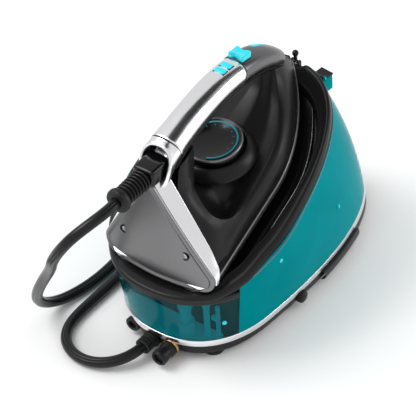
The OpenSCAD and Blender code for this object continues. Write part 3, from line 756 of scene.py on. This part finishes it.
# ---- the station -------------------------------------------------------------
@dataclass
class Station:
    """Tank station that the iron rests on.

    Attributes:
        half_w: Half width of the band.
        rear: Reach of the band behind the origin.
        front: Reach in front.
        widest: Where it is widest, behind the origin.
        band_z: Height of the band's middle.
        lip_z: Height of the rear lip.
        lip_line: Place where the rim starts to rise.
        flare: Outward lean of the wall.
        lean: Extra lean of the front wall.
        bulge: Fullness of the front wall half way up.
        seam: Plan angle of the seam between shell and window.
        tray_n: Height of the channel under the sole plane.
        gland: Where the hose enters.
        drain: Middle of the drain cap's seat.
        inlet: Middle of the mains inlet.
        studs: Label, plan angle and height of each small stud.
    """

    half_w: float = 74.5
    rear: float = 141.0
    front: float = 159.0
    widest: float = 59.0
    band_z: float = 23.5
    lip_z: float = 87.5
    lip_line: float = -128.0
    flare: float = 0.15
    lean: float = 0.5
    bulge: float = 6.0
    seam: float = 27.0
    tray_n: float = -9.4
    gland: Triple = (-8, -139, 13)
    drain: Triple = (14, -141.6, 13)
    inlet: Triple = (-34, -133, 13)
    studs: tuple[tuple[str, float, float], ...] = (("a", 30.0, 84.0), ("b", 0.0, 96.0), ("c", -38.0, 50.0))

    def plan(self, a: float) -> Pair:
        """Point of the band's outline at plan angle a, degrees."""
        s, c = math.sin(math.radians(a)), math.cos(math.radians(a))
        power = 2 / (2.25 if s > 0 else 2.4)
        reach = self.front + self.widest if s > 0 else self.rear - self.widest
        y = spow(s, power) * reach - self.widest
        return self.half_w * spow(c, power) * (1 + 0.001 * (y + self.widest)), y

    def outward(self, a: float) -> tuple[float, float, float, float, float]:
        """Band point at plan angle a, the direction outwards and the wall's flare there."""
        x, y = self.plan(a)
        size = math.hypot(x, y + self.widest)
        oy = (y + self.widest) / size
        return x, y, x / size, oy, self.flare - 0.05 * max(oy, 0)

    def wall(self, a: float, z: float, inset: float = 0.0) -> Triple:
        """Point of the tank wall.

        Args:
            a: Plan angle, degrees.
            z: Height, millimetres.
            inset: How far inside the wall.

        Returns:
            The point, millimetres.
        """
        x, y, ox, oy, flare = self.outward(a)
        k = z - self.band_z
        q = min(max(k / (self.top(a) - self.band_z), 0), 1)
        full = 4 * self.bulge * q * (1 - q) * max(oy, 0) ** 0.7 - inset
        return (x + ox * (flare * k + full), y + (flare * oy - self.lean * max(oy, 0)) * k + oy * full, z)

    def top(self, a: float) -> float:
        """Height of the wall's top at plan angle a."""
        slope = math.tan(DOCK_PITCH)
        _, y, _, oy, flare = self.outward(a)
        c = flare * oy - self.lean * max(oy, 0)
        k = (self.lip_z - self.band_z + slope * (y - self.lip_line)) / (1 - slope * c)
        if y + c * k < self.lip_line:
            return self.lip_z
        return self.band_z + k

    def rim(self, a: float, inset: float, up: float) -> Vector:
        """Point on the rim, above its sloping plane.

        Args:
            a: Plan angle, degrees.
            inset: Distance inside the wall's top edge.
            up: Height over the plane.

        Returns:
            The point, metres.
        """
        x, y, _ = self.wall(a, self.top(a), inset)
        return Vector((x, y, self.lip_z + math.tan(DOCK_PITCH) * max(y - self.lip_line, 0) + up)) * MM

    def tray_z(self, y: float) -> float:
        """Height of the channel's floor at y."""
        return HEEL_Z + (y - HEEL_Y) * math.tan(DOCK_PITCH) + self.tray_n / math.cos(DOCK_PITCH)

    def round_piece(self, name: str, rows: Sequence[Pair], finish: str, body: str, *nodes: str,
            a0: float = -90.0, a1: float = 270.0, cols: int = 200, **more: float) -> bpy.types.Object:
        """A strip of wall with a smooth section.

        Args:
            name: Name of the piece.
            rows: Inset and height pairs up the section.
            finish: Finish name.
            body: Body it rides on.
            *nodes: Nodes it replaces.
            a0: First plan angle.
            a1: Last plan angle.
            cols: Faces round the plan.
            **more: Passed on to sheet.

        Returns:
            The piece.
        """
        def place(s: float, t: float) -> Vector:
            """Point at s round the plan and t up the section."""
            inset, z = curve_at(rows, t)
            return Vector(self.wall(lerp(a0, a1, s), z, inset)) * MM
        return WARDROBE.dress(sheet(name, cols, 6 * len(rows), place, **more), finish, body, *nodes)

    def base(self) -> None:
        """Base tray and the chrome band round it."""
        self.round_piece("station_base", [(30, 4.2), (9, 4.1), (4.6, 4.6), (3.7, 7.5), (3.0, 8.4),
            (1.6, 9.2), (1.4, 14), (1.5, 20)], "satin_black", "station", "base_tray", thick=2.4)
        self.round_piece("chrome_strip", [(3.2, 19.6), (0.3, 19.6), (-0.6, 20.1), (-0.9, 22.2),
            (-0.9, 25.2), (-0.6, 27.0), (0.3, 27.6), (3.2, 27.6)], "chrome", "station", "chrome_band",
            thick=0.4)

    def tank(self) -> None:
        """Transparent shell, rear window, their edges and the studs."""
        def shell(s: float, t: float) -> Vector:
            """Point of the shell at s round the plan and t up the wall."""
            a = lerp(-self.seam, 180 + self.seam, s)
            return Vector(self.wall(a, lerp(27.2, self.top(a) - 0.2, t), 0)) * MM

        WARDROBE.dress(sheet("tank_wall", 220, 20, shell, thick=2.4), "teal_clear", "station", "tank_shell")
        self.round_piece("rear_pane", [(0, 27.2), (0, 45), (0, 62), (0, 79.6)], "window", "station",
            "rear_window", a0=181 + self.seam, a1=359 - self.seam, cols=120, thick=2.4)
        self.round_piece("lip_strip", [(0.6, 80), (-0.6, 80.4), (-0.8, 82), (-0.7, 85), (-0.3, 86.8),
            (0.4, 87.6)], "satin_black", "station", "rear_lip", a0=180 + self.seam, a1=360 - self.seam,
            cols=120, thick=2.0)
        for hand, a in ((Hand.RIGHT, -self.seam), (Hand.LEFT, 180 + self.seam)):
            def strip(t: float, at: float = a) -> Vector:
                """Point at t up the seam at one plan angle."""
                return Vector(self.wall(at, lerp(27.5, self.top(at) - 1, t), 0.3)) * MM
            WARDROBE.dress(bead("pane_seam_" + hand.label, strip, 40, 0.45), "satin_black", "station")

        def flange(s: float, t: float) -> Vector:
            """Point at s round the rim and t across the flange."""
            return self.rim(lerp(-24, 204, s), 5.0 * t, -0.25)
        WARDROBE.dress(sheet("tank_flange", 200, 3, flange, thick=1.4), "teal_clear", "station")

        def edge(t: float) -> Vector:
            """Point at t along the tank's top edge."""
            return self.rim(lerp(-24, 204, t), -0.25, -0.3)
        WARDROBE.dress(bead("tank_edge_line", edge, 220, 0.55), "edge_grey_and_painted_highlight", "station")
        for label, a, z in self.studs:
            x, y, _ = self.wall(a, z, -0.2)
            out = Vector((x, y + self.widest, 0)).normalized()
            spot = seated(Vector((x, y, z)) * MM, out.to_track_quat("Z", "Y").to_matrix().to_4x4())
            WARDROBE.dress(lathe("tank_stud_" + label, [(0, -1.0), (2.2, -1.0), (2.2, 0.2), (1.6, 0.7),
                (0, 0.8)], spot, steps=32), "cyan", "station")

    def rim_ring(self) -> None:
        """The black rim and the floor of the channel inside it."""
        front = [(0.0, -0.6), (-0.3, 1.5), (0.2, 4.0), (1.4, 6.2), (3.6, 7.0), (7.5, 6.7), (11.2, 6.0),
            (12.6, 5.0), (13.3, 3.0), (13.9, 0.0)]
        back = [(0.0, -0.6), (-0.2, 0.2), (0.1, 0.9), (1.0, 1.4), (3.6, 1.5), (9.0, 1.1), (14.8, 0.4),
            (16.4, -0.3), (17.4, -1.4), (18.0, -2.4)]
        foot = (14.2, 18.4)

        def place(s: float, t: float) -> Vector:
            """Point at s round the rim and t from its outer edge down to the channel."""
            a = -90 + 360 * s
            south = -math.sin(math.radians(a))
            share = max(south, 0) ** 2
            step_in = 3.4 * smooth((0.42 - south) / 0.3)
            lift = 5.0 * smooth((-south - 0.3) / 0.6) * smooth((abs(self.plan(a)[0]) - 7) / 7)
            rows = [(lerp(p[0], q[0], share), lerp(p[1], q[1], share)) for p, q in zip(front, back)]
            at = t * len(rows)
            if at > len(rows) - 1:
                start = self.rim(a, rows[-1][0] + step_in, rows[-1][1])
                x, y, _ = self.wall(a, self.top(a), lerp(*foot, share) + step_in)
                return start.lerp(Vector((x, y, self.tray_z(y))) * MM, at - len(rows) + 1)
            inset, up = curve_at(rows, at / (len(rows) - 1))
            lift *= smooth((at + 0.4) / 1.6) * (1 - smooth((at - 3.2) / 3))
            return self.rim(a, inset + step_in, up + lift)
        WARDROBE.dress(sheet("rim_ring", 240, 48, place, thick=1.6), "satin_black", "station",
            "platform_rim")

        def tray(s: float, t: float) -> Vector:
            """Point at s round the channel and t in from its edge."""
            a = -90 + 360 * s
            x, y, _ = self.wall(a, self.top(a), 9 + 2 * t)
            edge = Vector((x, y)) * (1 - t) + Vector((0, -20)) * t
            return Vector((edge.x, edge.y, self.tray_z(edge.y))) * MM
        WARDROBE.dress(sheet("channel_floor", 160, 8, tray, thick=2.0), "gloss_black", "station",
            "platform_tray")

    def fittings(self) -> None:
        """Hose gland, drain cap, mains inlet, cord rail and side boss."""
        outline = [(0, -3), (9, -3), (9, 2), (7, 2.6)]
        for k in range(4):
            z = 3.4 + 3.4 * k
            outline += [(6.6, z - 0.2), (7.9, z + 0.5), (8.0, z + 1.5), (6.7, z + 2.2)]
        outline += [(6.4, 16.2), (5.5, 16.2), (5.4, 9), (0, 9)]
        WARDROBE.dress(lathe("hose_socket", outline, seated(Vector(self.gland) * MM), steps=64),
            "matte_rubber", "station", "hose_gland")
        WARDROBE.dress(lathe("drain_plug", [(4.1, 0.2), (7.4, 0.2), (7.9, 0.8), (7.9, 5), (7.4, 5.5),
            (7.4, 12), (7.9, 12.5), (7.9, 16.6), (7.2, 17.8), (5.6, 18.1), (5.0, 17.4), (4.8, 15.2),
            (0, 15.0)], seated(Vector(self.drain) * MM), steps=64), "satin_black", "drain", "drain_cap")
        WARDROBE.dress(lathe("inlet_face", [(7.5, -3), (7.5, 2.4), (6.8, 3.0), (4.6, 3.0), (4.0, 2.4),
            (4.0, 0), (0, 0)], seated(Vector(self.inlet) * MM), steps=48), "matte_rubber", "station",
            "mains_inlet")
        self.round_piece("cord_rail", [(1.2, 19.0), (-2.8, 18.8), (-4.2, 17.4), (-4.4, 13.0), (-3.8, 9.0),
            (-2.4, 7.4), (1.2, 7.2)], "satin_black", "station", "side_fittings", a0=17, a1=38, cols=40,
            cap=True)
        x, y, _ = self.wall(9, 12, 0.8)
        boss = seated(Vector((x, y, 12)) * MM, Matrix.Rotation(math.pi / 2, 4, "Y"))
        WARDROBE.dress(lathe("side_boss", [(6.4, -2), (6.4, 2.6), (5.8, 3.8), (4.4, 4.6), (2.4, 5.0),
            (0, 5.1)], boss, steps=48), "satin_black", "station")

    def build(self) -> None:
        """Make the whole station."""
        self.base()
        self.tank()
        self.rim_ring()
        self.fittings()


# ---- the iron --------------------------------------------------------------
@dataclass
class Iron:
    """The docked iron with its handle and controls.

    Attributes:
        half_w: Half width of the skirt.
        length: From the heel origin to the nose.
        widest: Where the outline starts to taper.
        handle: Rows of u, n, half width and half height along the handle.
        collar: Half width and half height of the hose collar.
        collar_n: Height of its middle over the sole.
        collar_drop: How much further its lower half reaches down.
        outer: Right side's outer boundary of the body skin.
        opening: Right side's edge of the hand opening.
        middle: Centre line of the body between the openings.
        split: Share of the skin that lies outside the opening's edge.
        keys: Name, u, n and tilt of each key.
        rocker: Same for the rocker, without a name.
        dial_seat: Same for the dial.
        swivel: u and n of the hose's swivel.
        dip: How deep the inner skin sags, per row.
    """

    half_w: float = 59.0
    length: float = 237.0
    widest: float = 115.0
    handle: tuple[tuple[float, float, float, float], ...] = (
        (60, 115, 17.5, 14.5), (72, 114.5, 16.5, 14.5), (86, 113, 15.5, 14), (106, 110, 15, 14),
        (128, 105.5, 15, 13.5), (150, 98.5, 15, 13.5), (172, 88.5, 15, 13), (190, 77, 15, 12.5),
        (203, 65, 14.5, 12), (213, 52, 13.5, 11), (221, 39, 11.5, 9))
    collar: Pair = (17.5, 14.5)
    collar_n: float = 114.7
    collar_drop: float = 4.0
    outer: tuple[Triple, ...] = ((15.0, 66, 101), (16.4, 53.5, 91), (20.8, 42.7, 79.5), (28.4, 38.7, 70),
        (37.4, 33.7, 57.5), (44.4, 29, 46), (50.8, 23.4, 33.5), (56.4, 16.8, 18), (59, 34, 17),
        (59.4, 55, 17), (59.2, 80, 17), (59, 110, 17), (56.5, 140, 17), (48.0, 165, 17), (36.0, 188, 17),
        (23.5, 208, 17), (10.0, 227, 17), (0.5, 237, 17))
    opening: tuple[Triple, ...] = (
        (13.5, 88, 99), (14.6, 82, 87), (16.0, 75, 78), (21, 63.5, 69), (31, 55.5, 61), (41.5, 51.5, 52.5),
        (48, 54.5, 43), (51.5, 63, 35), (52, 75, 31.5), (51.5, 90, 30), (50.5, 107, 30), (49, 125, 30.5),
        (46, 145, 31.5), (38, 165, 32.5), (27.5, 183, 34.5), (18.5, 196, 40), (12.5, 206, 48), (9.5, 213, 54))
    middle: tuple[Pair, ...] = ((87, 99), (82.5, 87), (76, 77), (71, 67), (69, 58), (71, 49), (76, 40.5),
        (84, 36.5), (92, 36.5), (99, 37), (110, 37.5), (127, 37), (146, 35), (165, 34.5), (181, 36),
        (192, 41), (200, 49), (206, 55))
    split: float = 0.42
    keys: tuple[tuple[str, float, float, float], ...] = (("down", 160, 107.4, -25),
        ("up", 168.5, 103.6, -26))
    rocker: Triple = (186, 93.6, -32)
    dial_seat: Triple = (116, 40, -14)
    swivel: Pair = (44, 114)
    dip: tuple[float, ...] = (0, 1, 2, 3, 4, 6, 9, 12, 11, 8, 5, 4, 3.5, 3, 2, 1.5, 1, 0)

    def width(self, u: float) -> float:
        """Half width of the plan outline at u."""
        if u < self.widest:
            return self.half_w
        return self.half_w * (1 - ((u - self.widest) / (self.length - self.widest)) ** 1.9) ** 0.95

    def outline(self, s: float, grow: float) -> Pair:
        """Plan outline of the base.

        Args:
            s: Place round the outline, 0 and 1 at the middle of the heel.
            grow: Added all round, millimetres.

        Returns:
            x and u of the point.
        """
        right = s <= 0.5
        q = 2 * s if right else 2 - 2 * s
        scale = (self.half_w + grow) / self.half_w
        if q < 0.3:
            b = math.radians(90 - 90 * (q / 0.3))
            x = (self.half_w + grow) * math.cos(b) ** (2 / 4.4)
            u = 30 - (39 + grow) * math.sin(b) ** (2 / 4.4)
        else:
            t = math.sin(math.radians(90 * (q - 0.3) / 0.7))
            x = self.width(min(30 + (self.length - 30) * t, self.length)) * scale
            u = 30 + (self.length - 30 + grow) * t
        return (x if right else -x), u

    def base_strip(self, name: str, rows: Sequence[Pair], finish: str, *nodes: str, s0: float = 0.0,
            s1: float = 1.0, body: str = "iron", **more: float) -> bpy.types.Object:
        """A strip round the iron's base.

        Args:
            name: Name of the piece.
            rows: Growth and height pairs of its section.
            finish: Finish name.
            *nodes: Nodes it replaces.
            s0: Start round the outline.
            s1: End round the outline.
            body: Body it rides on.
            **more: Passed on to sheet.

        Returns:
            The piece.
        """
        def place(s: float, t: float) -> Vector:
            """Point at s round the base and t up the section."""
            grow, n = curve_at(rows, t)
            x, u = self.outline(lerp(s0, s1, s), grow)
            behind = -3.5 + n * math.tan(HEEL_LEAN) + 1.08 * self.bow(x)
            return iron(x, max(u, behind) if body == "iron" else u, n)
        return WARDROBE.dress(sheet(name, 260, 5 * len(rows), place, **more), finish, body, *nodes)

    def base(self) -> None:
        """Skirt, its bright edge and the ridge in the channel."""
        self.base_strip("skirt", [(-3, 5.8), (-0.6, 6.0), (0.2, 7), (0.3, 9.6), (0.0, 12), (-0.3, 18.2)],
            "satin_black", "sole_skirt", thick=1.6)
        self.base_strip("skirt_edge", [(0.1, 6.4), (0.9, 6.9), (1.0, 8.2), (0.5, 9.6), (0.1, 10.2)],
            "edge_grey_and_painted_highlight", s0=0.13, s1=0.87, thick=0.5)
        for hand, start in ((Hand.RIGHT, 0.19), (Hand.LEFT, 0.64)):
            self.base_strip("channel_ridge_" + hand.label, [(10.4, -9.4), (10.4, -6.4), (10.6, -5.6),
                (11.1, -5.3), (11.5, -5.6), (11.7, -6.4), (11.7, -9.4)], "chrome", "tray_trim", s0=start,
                s1=start + 0.17, body="station", thick=0.4)

    def skin(self) -> None:
        """The black body between the chrome frame, the skirt and the handle."""
        def place(s: float, t: float) -> Vector:
            """Point at s from edge to edge across the body and t from the collar to the nose."""
            side = 1 if s <= 0.5 else -1
            q = 2 * s if s <= 0.5 else 2 - 2 * s
            o, e = Vector(curve_at(self.outer, t)), Vector(curve_at(self.opening, t))
            mu, mn = curve_at(self.middle, t)
            sag = curve_at([(d,) for d in self.dip], t)[0]
            if q < self.split:
                f = q / self.split
                p = o.lerp(e, f)
                push = 3.2 * ridge(f)
                upright = smooth((t - 0.30) / 0.12)
                p += push * Vector((0.75, -0.1, 0.45)).lerp(Vector((0.55, 0, 0.9)), upright)
            else:
                f = (q - self.split) / (1 - self.split)
                p = Vector((e.x * (1 - f), lerp(e.y, mu, smooth(f)), lerp(e.z, mn, smooth(f))))
                drop = sag * math.sin(math.pi * min(f * 1.25, 1.0)) ** 1.5
                flat = smooth((t - 0.24) / 0.14)
                p += Vector((0, -0.55 * drop * (1 - flat), -drop * lerp(0.2, 1, flat)))
            return iron(side * p.x, p.y, p.z)
        WARDROBE.dress(sheet("body_skin", 96, 150, place, thick=1.6, crease=60.0), "satin_black", "iron",
            "body_shell", "nose_post")

    def handle_point(self, t: float, turn: float, out: float = 0.0) -> Vector:
        """Point on the handle's surface.

        Args:
            t: Place along the handle, 0 at its rear.
            turn: Angle round it, degrees, 90 on the crown.
            out: Distance outside the surface.

        Returns:
            The point, metres.
        """
        u, n, w, h = curve_at(self.handle, t)
        a, b = curve_at(self.handle, max(t - 0.02, 0)), curve_at(self.handle, min(t + 0.02, 1))
        ahead = Vector((b[0] - a[0], b[1] - a[1])).normalized()
        c, s = math.cos(math.radians(turn)), math.sin(math.radians(turn))
        across, up = (w + out) * spow(c, HANDLE_POWER), (h + out) * spow(s, HANDLE_POWER)
        return iron(across, u - ahead.y * up, n + ahead.x * up)

    def handle_piece(self, name: str, t0: float, t1: float, a0: float, a1: float, finish: str, *nodes: str,
            out: float = 0.0) -> None:
        """One shell of the handle.

        Args:
            name: Name of the piece.
            t0: Start along the handle.
            t1: End along the handle.
            a0: First angle.
            a1: Last angle.
            finish: Finish name.
            *nodes: Nodes it replaces.
            out: Distance outside the main surface.
        """
        def place(s: float, t: float) -> Vector:
            """Point at s round the handle and t along it, sunk a little at the shell's edges."""
            soft = 0.5 * (1 - smooth(min(s, 1 - s) / 0.04))
            ends = 0.5 * (1 - smooth(min(t, 1 - t) / 0.012))
            return self.handle_point(lerp(t0, t1, t), lerp(a0, a1, s), out - soft - ends)
        WARDROBE.dress(sheet(name, 56, 110, place, thick=2.0), finish, "iron", *nodes)

    def mouth(self, rise: float) -> float:
        """How far forward the collar's slanting mouth lies, from its foot at -1 to its top at 1."""
        return 36 + (15.7 + self.collar[1] * rise) * 0.93

    def grip(self) -> None:
        """Chrome top shell, black underside, grey nose cap and hose collar."""
        self.handle_piece("handle_top", 0.102, 0.605, -22, 202, "chrome", "handle_shell")
        self.handle_piece("handle_under", 0.0, 1.0, 202.6, 337.4, "satin_black", "handle_grip", out=-0.4)
        self.handle_piece("nose_cover", 0.608, 1.0, -22, 202, "grey_cap", "nose_cap")
        w, h = self.collar

        def collar(s: float, t: float) -> Vector:
            """Point at s round the collar and t from its lip forward."""
            a = 2 * math.pi * s
            lips = [(-3.2, 2.6), (-3.4, 0.6), (-2.4, -0.3), (-0.6, 0.4), (0, 2.2), (0, 6)]
            at = t * len(lips)
            rear = self.mouth(spow(math.sin(a), COLLAR_POWER))
            if at > len(lips) - 1:
                grow, u = 0.0, lerp(rear + 6, 71.6, at - len(lips) + 1)
            else:
                grow, back = curve_at(lips, at / (len(lips) - 1))
                u = rear + back
            late = smooth((u - 44) / 26)
            round_power = lerp(COLLAR_POWER, HANDLE_POWER, late)
            cx, cn = spow(math.cos(a), round_power), spow(math.sin(a), round_power)
            low = self.collar_drop * (1 - late) if cn < 0 else 0.0
            return iron((w - late + grow) * cx, u, self.collar_n + (h + low + grow) * cn)
        WARDROBE.dress(sheet("hose_collar", 96, 48, collar, thick=1.2), "chrome", "iron")

        def liner(s: float, t: float) -> Vector:
            """Point at s round the liner and t forward."""
            a = 2 * math.pi * s
            cx, cn = spow(math.cos(a), COLLAR_POWER), spow(math.sin(a), COLLAR_POWER)
            low = self.collar_drop if cn < 0 else 0.0
            return iron((w - 3.3) * cx, lerp(self.mouth(cn) + 1.2, 70.5, t),
                self.collar_n + (h - 3.0 + low) * cn)
        WARDROBE.dress(sheet("collar_liner", 64, 12, liner, thick=0.5), "gloss_black", "iron")

    def heel_edge(self, s: float, grow: float) -> Pair:
        """Outline of the heel plate.

        Args:
            s: Place round it, 0 to 1, from the bottom's middle to the right.
            grow: Added all round.

        Returns:
            x and z on the plate.
        """
        corners = [((46.6, 16.2), 15.0, -84.0, 36.0), ((0.0, 106.0), 9.0, 36.0, 144.0),
            ((-46.6, 16.2), 15.0, 144.0, 264.0)]
        points: list[Pair] = []
        for (cx, cz), r, a0, a1 in corners:
            for k in range(13):
                a = math.radians(lerp(a0, a1, k / 12))
                points.append((cx + (r + grow) * math.cos(a), cz + (r + grow) * math.sin(a)))
        points = [(0.0, points[0][1] - 0.8), *points, (0.0, points[0][1] - 0.8)]
        lengths = [math.dist(p, q) for p, q in zip(points, points[1:])]
        want = s * sum(lengths)
        for p, q, size in zip(points, points[1:], lengths):
            if want <= size:
                return lerp(p[0], q[0], want / size), lerp(p[1], q[1], want / size)
            want -= size
        return points[-1]

    @staticmethod
    def bow(x: float) -> float:
        """How far the heel plate's corners curve forward."""
        return 7.5 * (x / 60) ** 2

    def heel_end(self) -> None:
        """The satin plate and the chrome legs round it."""
        def plate(s: float, t: float) -> Vector:
            """Point at s round the plate and t from its edge to its middle."""
            profile = [(0.0, 2.6), (0.2, 0.2), (-0.8, -0.9), (-2.2, -1.2), (-3.6, -0.8), (-4.8, -0.1),
                (-6.5, 0.1)]
            edge_share = 0.3
            if t < edge_share:
                grow, y = curve_at(profile, t / edge_share)
                x, z = self.heel_edge(s, grow)
            else:
                f = (t - edge_share) / (1 - edge_share)
                x, z = self.heel_edge(s, -6.5)
                x, z = lerp(x, 0, f), lerp(z, 42, f)
                y = 0.1
            return heel(x, y - 2.4 + self.bow(x), z)
        plate_obj = sheet("heel_face", 200, 60, plate, thick=1.6)
        for hand in (Hand.LEFT, Hand.RIGHT):
            x = 34.0 * hand.value
            turn = Matrix.Rotation(-hand.value * math.atan(0.14), 4, "Z") @ Matrix.Rotation(math.pi / 2, 4,
                "X")
            seat = seated(heel(x, -1.7 + self.bow(x), 41), Matrix.Rotation(DOCK_PITCH - HEEL_LEAN, 4, "X")
                @ turn)
            WARDROBE.dress(lathe("screw_well_" + hand.label, [(4.9, 0.2), (4.7, 1.0), (4.1, 1.2),
                (3.6, 0.9), (3.4, -0.3), (2.8, -0.7), (0, -0.6)], seat, steps=40), "gloss_black", "iron")
            WARDROBE.dress(lathe("screw_face_" + hand.label, [(2.9, -0.5), (2.8, 0.3), (2.1, 0.8),
                (1.0, 0.8), (0.8, 0.0), (0, 0.0)], seat, steps=32), "steel", "iron")
        WARDROBE.dress(plate_obj, "heel_metal", "iron", "heel_plate", "heel_screws")

        def legs(s: float, t: float) -> Vector:
            """Point at s round the frame and t across its section."""
            depth = 17.4
            section = [(-4.0, 0.6), (-0.6, 0.4), (0.5, 1.2), (0.9, 4.0), (0.9, 8.5), (0.9, 13.5),
                (0.6, 16.6), (-4.0, depth)]
            grow, y = curve_at(section, t)
            near = min(s, 1 - s)
            grow += 4.2 * (y / depth) * smooth((near - 0.03) / 0.14)
            x, z = self.heel_edge(lerp(0.175, 0.825, s), grow)
            hollow = self.bow(x)
            return heel(x, y * (depth - hollow) / depth * lerp(0.3, 1, smooth(near / 0.07)) + hollow, z)
        WARDROBE.dress(sheet("heel_legs", 160, 48, legs, thick=1.2), "chrome", "iron", "heel_frame")

    def controls(self) -> None:
        """Keys, rocker and light strip."""
        for label, u, n, tilt in self.keys:
            spot = iron_turned(u, n, tilt) @ Matrix.Translation((0, 0, 0.3))
            WARDROBE.dress(block("key_" + label, (11, 6.3, 4.6), spot, 0.8), "cyan", "key_" + label,
                f"temperature_{label}_key")
            well = iron_turned(u, n, tilt) @ Matrix.Translation((0, 0, -0.2))
            WARDROBE.dress(block("key_well_" + label, (12.6, 7.9, 2.6), well, 0.5), "gloss_black", "iron")

        def lobes(p: Vector) -> Vector:
            """Pinch the rocker in its middle and raise its two ends."""
            pinch = 1 - 0.30 * math.exp(-(p.x / 3.6) ** 2)
            lift = 1.4 * (p.y / 7) ** 2 - 0.7 * math.exp(-(p.x / 3.0) ** 2)
            return Vector((p.x, p.y * pinch, p.z + (lift if p.z > 0 else 0)))
        rocker = iron_turned(*self.rocker) @ Matrix.Translation((0, 0, 2.4))
        seat = iron_turned(*self.rocker) @ Matrix.Translation((0, 0, -1.8))
        WARDROBE.dress(block("rocker_seat", (18.4, 14.6, 3.4), seat, 1.0), "gloss_black", "iron",
            "rocker_bracket", "rocker_pin")
        WARDROBE.dress(block("rocker_cap", (17.0, 14.0, 5.8), rocker, 1.5, cuts=7, shape=lobes), "cyan",
            "rocker", "steam_rocker")

        def strip(s: float, t: float) -> Vector:
            """Point at s across the strip and t along it."""
            sunk = 2 - smooth(min(s, 1 - s) / 0.2) - smooth(min(t, 1 - t) / 0.1)
            return self.handle_point(lerp(0.755, 0.86, t), lerp(92, 128, s), 0.5 - 0.6 * sunk)
        WARDROBE.dress(sheet("lamp_strip", 20, 30, strip, thick=0.6), "cyan", "iron", "light_strip")

    def dial(self) -> None:
        """Temperature dial, its base ring, a grey ring painted as the highlight on its rim, and generic marks.
        """
        axis = iron_turned(*self.dial_seat)
        WARDROBE.dress(lathe("dial_base", [(27.9, -3), (28.6, 1.0), (29.4, 3.2), (30.6, 3.6), (32.6, 2.7),
            (34.6, 0.6), (37.0, -2.5), (38.6, -6.0), (39.2, -8.0)], axis, thick=0.8), "satin_black",
            "iron", "dial_bezel")
        WARDROBE.dress(lathe("dial_body", [(0, 2.6), (27.4, 2.6), (27.8, 3.2), (27.9, 8.6), (27.3, 10.0),
            (26.4, 10.7), (25.6, 10.6), (25.2, 10.3), (0, 10.5)], axis, steps=128), "gloss_black", "dial",
            "dial_knob")
        # Painted highlight: a grey ring round the dial's rounded rim.
        WARDROBE.dress(lathe("dial_rim_painted_highlight", [(27.5, 9.6), (27.3, 10.3), (26.6, 10.85), (26.0, 10.85),
            (25.9, 10.5)], axis, steps=128, thick=0.2), "edge_grey_and_painted_highlight", "dial")

        def arc(s: float, t: float) -> Vector:
            """Point at s along the arc and t across it."""
            a = math.radians(lerp(-72, 232, s))
            r = lerp(21.6, 23.2, t)
            return axis @ Vector((r * math.cos(a), r * math.sin(a), 10.62))
        WARDROBE.dress(sheet("dial_arc", 120, 2, arc, thick=0.1), "dial_ink", "dial")
        for i, a in enumerate((90, 60, 38, 120, 145, 15, -10, 172)):
            r, size = (18.5, 0.8) if i else (17.6, 1.3)
            spot = axis @ Matrix.Rotation(math.radians(a), 4, "Z") @ Matrix.Translation((r, 0, 10.56))
            WARDROBE.dress(block(f"dial_mark_{i}", (size * 1.6, size, 0.3), spot, 0.1), "dial_ink", "dial")

    def hose_end(self) -> None:
        """Swivel block and ribbed bend guard."""
        axis = seated(iron(0, *self.swivel))
        WARDROBE.dress(block("swivel", (23, 18, 27), axis @ Matrix.Translation((0, 1.5, -2.5)), 3.4),
            "gloss_black", "iron", "swivel_block")
        outline = [(0, 11), (7.6, 11)]
        for k in range(7):
            z, r = 13.2 + 3.9 * k, 10.6 - 0.12 * k
            outline += [(7.4, z), (r - 0.5, z + 0.35), (r, z + 1.1), (r - 0.4, z + 1.9), (7.4, z + 2.4)]
        outline += [(8.2, 42.2), (11.4, 43.0), (12.0, 44.4), (12.0, 47.4), (11.2, 49.0), (8.0, 49.7),
            (5.6, 49.9), (5.4, 42), (0, 42)]
        WARDROBE.dress(lathe("bend_sleeve", outline, axis, steps=64), "matte_rubber", "iron", "bend_guard")

    def build(self) -> None:
        """Make the whole iron."""
        self.base()
        self.skin()
        self.grip()
        self.heel_end()
        self.controls()
        self.dial()
        self.hose_end()


NODE_FINISH = {
    "base_screws": "steel", "rubber_feet": "matte_rubber", "rest_pads": "matte_rubber",
    "filler_flap": "gloss_black", "filler_spout": "teal_clear", "hinge_pins": "steel",
    "latch_bracket": "satin_black", "nose_latch": "gloss_black", "boiler_housing": "housing",
    "tank_floor": "teal_solid", "boiler": "steel", "boiler_element": "brass", "pump": "pump",
    "inner_mounts": "housing", "steam_valve": "brass", "control_board": "board",
    "valve_column": "teal_solid", "level_tube": "teal_solid", "rear_ledge": "teal_solid",
    "window_bracket": "teal_solid", "level_marks": "white_ink", "cap_socket": "brass",
    "soleplate": "sole_metal", "heating_block": "sole_metal", "heating_element": "brass",
    "thermostat": "brass"}


def main() -> None:
    """Build every sub-assembly in order."""
    logging.basicConfig(level=logging.INFO)
    Studio().build()
    SteamHose().build()
    Station().build()
    Iron().build()
    for node, name in NODE_FINISH.items():
        WARDROBE.dress_node(node, name)


if __name__ == "__main__":
    main()
